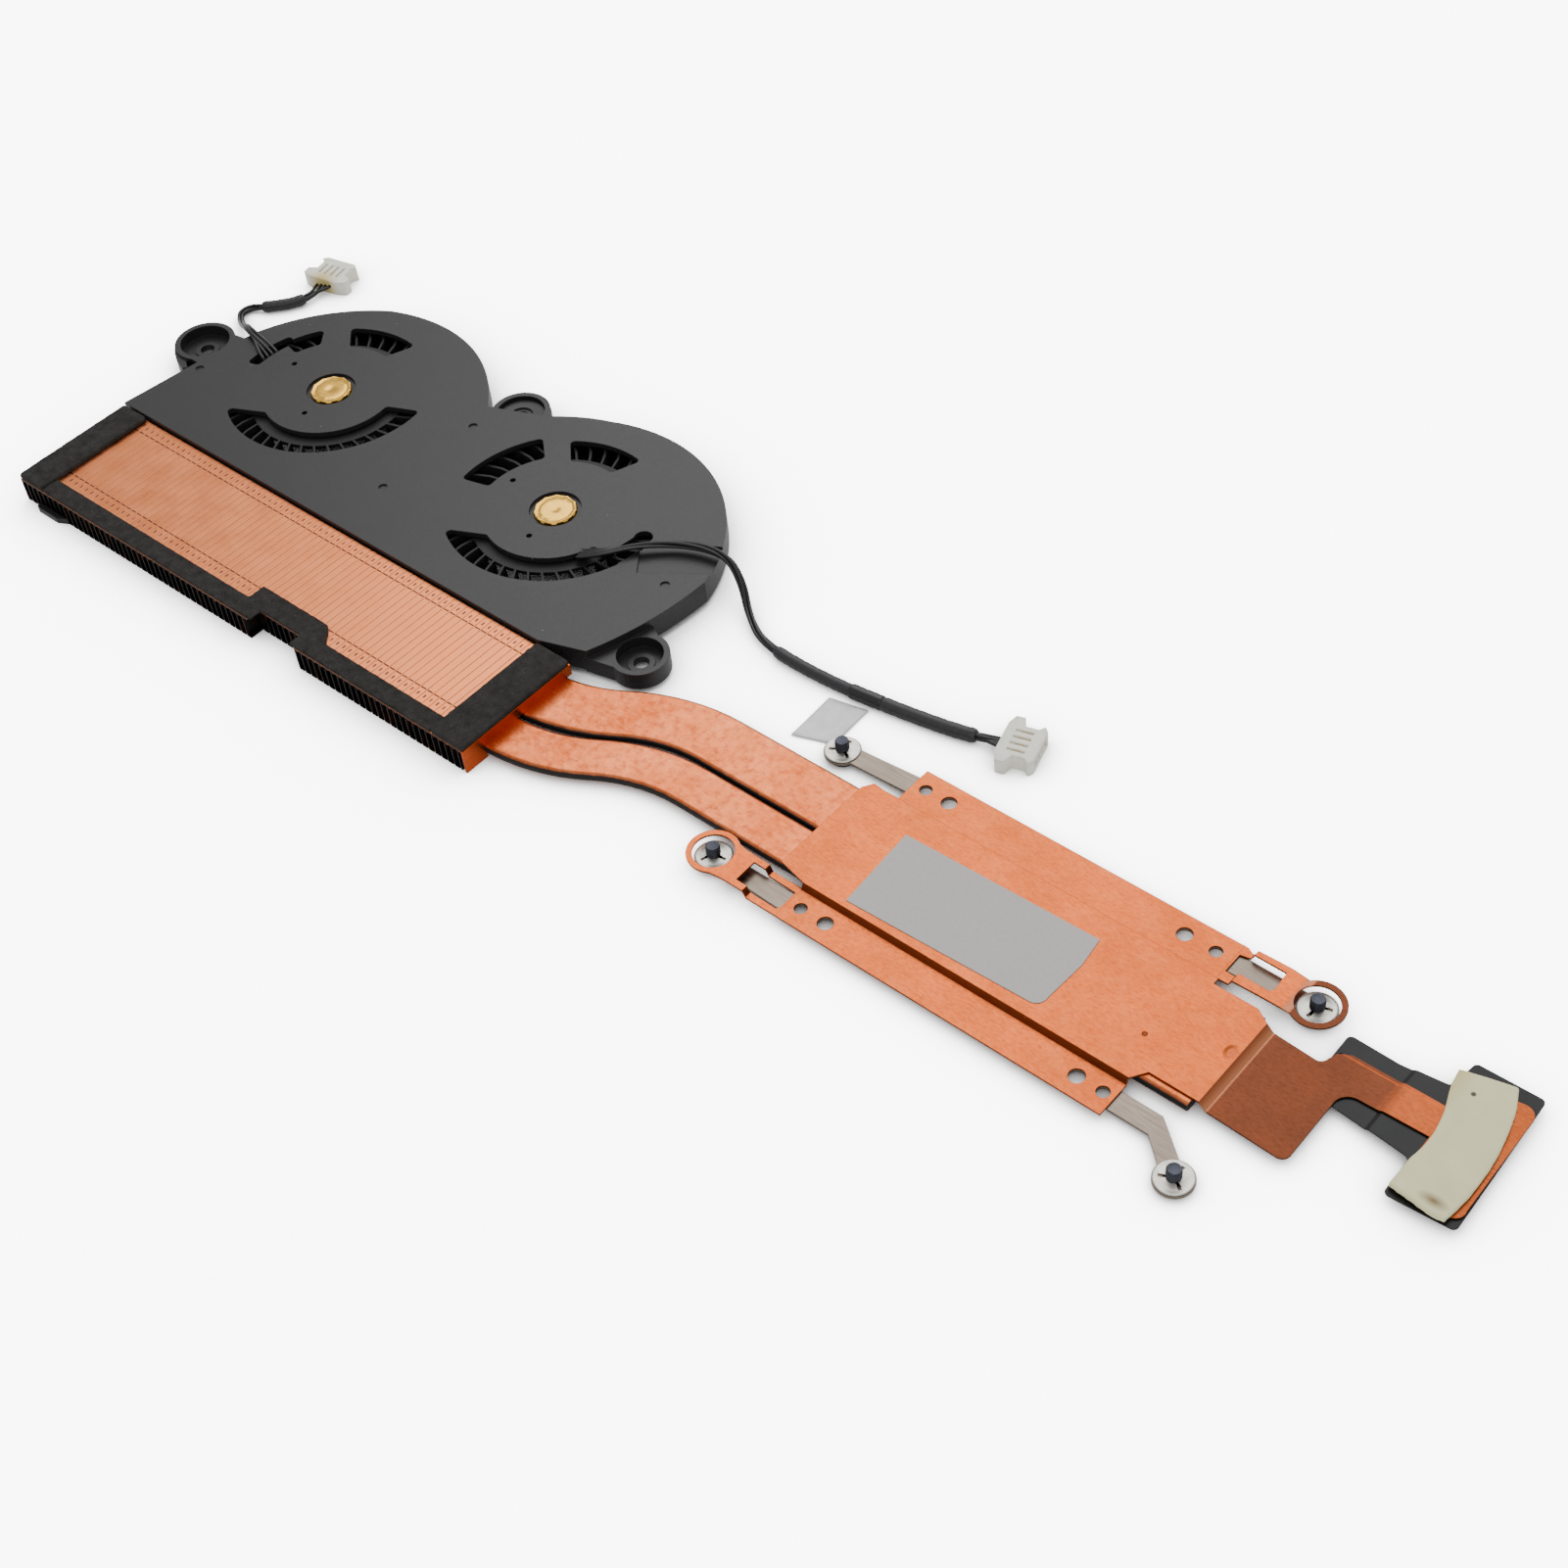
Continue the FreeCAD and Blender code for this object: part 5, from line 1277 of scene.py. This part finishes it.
def makePlate():
    sheet = frame["nodes"]["contact_plate"].data.copy()
    sheet.materials.clear()
    solid = bmesh.new()
    solid.from_mesh(sheet)
    bmesh.ops.remove_doubles(solid, verts=solid.verts, dist=0.000001)
    armTop = mm(0, 0, arms["level"] + 0.05).z
    for plan in (arms["front"], arms["rear"]):
        cut = mm(plan["cut"], 0).x
        front, back = (mm(0, y).y for y in plan["beyond"])
        bmesh.ops.bisect_plane(solid, geom=solid.verts[:] + solid.edges[:] + solid.faces[:], plane_co=(cut, 0, 0), plane_no=(1, 0, 0))
        taken = []
        for face in solid.faces:
            x, y, z = face.calc_center_median()
            if (x - cut) * plan["side"] > 0 and front < y < back and z < armTop:
                taken.append(face)
        bmesh.ops.delete(solid, geom=taken, context="FACES")
    solid.to_mesh(sheet)
    solid.free()
    whole = joined("contactSheet", [sheet, armMesh("frontArm", arms["front"]), armMesh("rearArm", arms["rear"])])
    smoothByAngle(whole, 32)
    piece = addObject("contact_sheet", whole, materials["plate"])
    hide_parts("contact_plate")
    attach(piece, "cooler")


makePlate()
print("contact plate made")


# The other solids keep their CAD form

for nodeName, materialName in {
    "fan_housing": "housing", "fan_cover": "cover", "fin_ledge": "housing", "heat_pipe_rear": "pipe", "heat_pipe_front": "pipe",
    "thermal_film": "film", "leaf_spring_front": "spring", "leaf_spring_rear": "spring",
    "tail_film": "blackFilm",
}.items():
    dressed(nodeName, materialName)
for side in ("left", "right"):
    for part in ("bearing", "shaft", "stator", "magnet", "impeller"):
        dressed(part + "_" + side, part)
print("solids dressed")


# Floor and light


def areaLight(name, place, size, power, target):
    data = bpy.data.lights.new(name, "AREA")
    data.shape = "DISK"
    data.size = size
    data.energy = power
    light = bpy.data.objects.new(name, data)
    light.location = mm(*place)
    direction = mm(*target) - mm(*place)
    light.rotation_euler = direction.to_track_quat("-Z", "Y").to_euler()
    bpy.context.scene.collection.objects.link(light)


def makeStudio():
    half = studio["floorSize"] / 2
    corners = [(-half, -half, 0), (half, -half, 0), (half, half, 0), (-half, half, 0)]
    floor = addObject("floor", meshFrom("floor", [Vector(c) for c in corners], [(0, 1, 2, 3)], smooth=False), materials["floor"])
    areaLight("key", studio["keyPlace"], studio["keySize"], studio["keyPower"], (70, -20, 0))
    areaLight("fill", studio["fillPlace"], studio["fillSize"], studio["fillPower"], (70, -20, 0))
    world = bpy.data.worlds.new("studio")
    world.use_nodes = True
    world.node_tree.nodes["Background"].inputs["Color"].default_value = (1, 1, 1, 1)
    world.node_tree.nodes["Background"].inputs["Strength"].default_value = studio["worldStrength"]
    bpy.context.scene.world = world


makeStudio()
print("studio made")
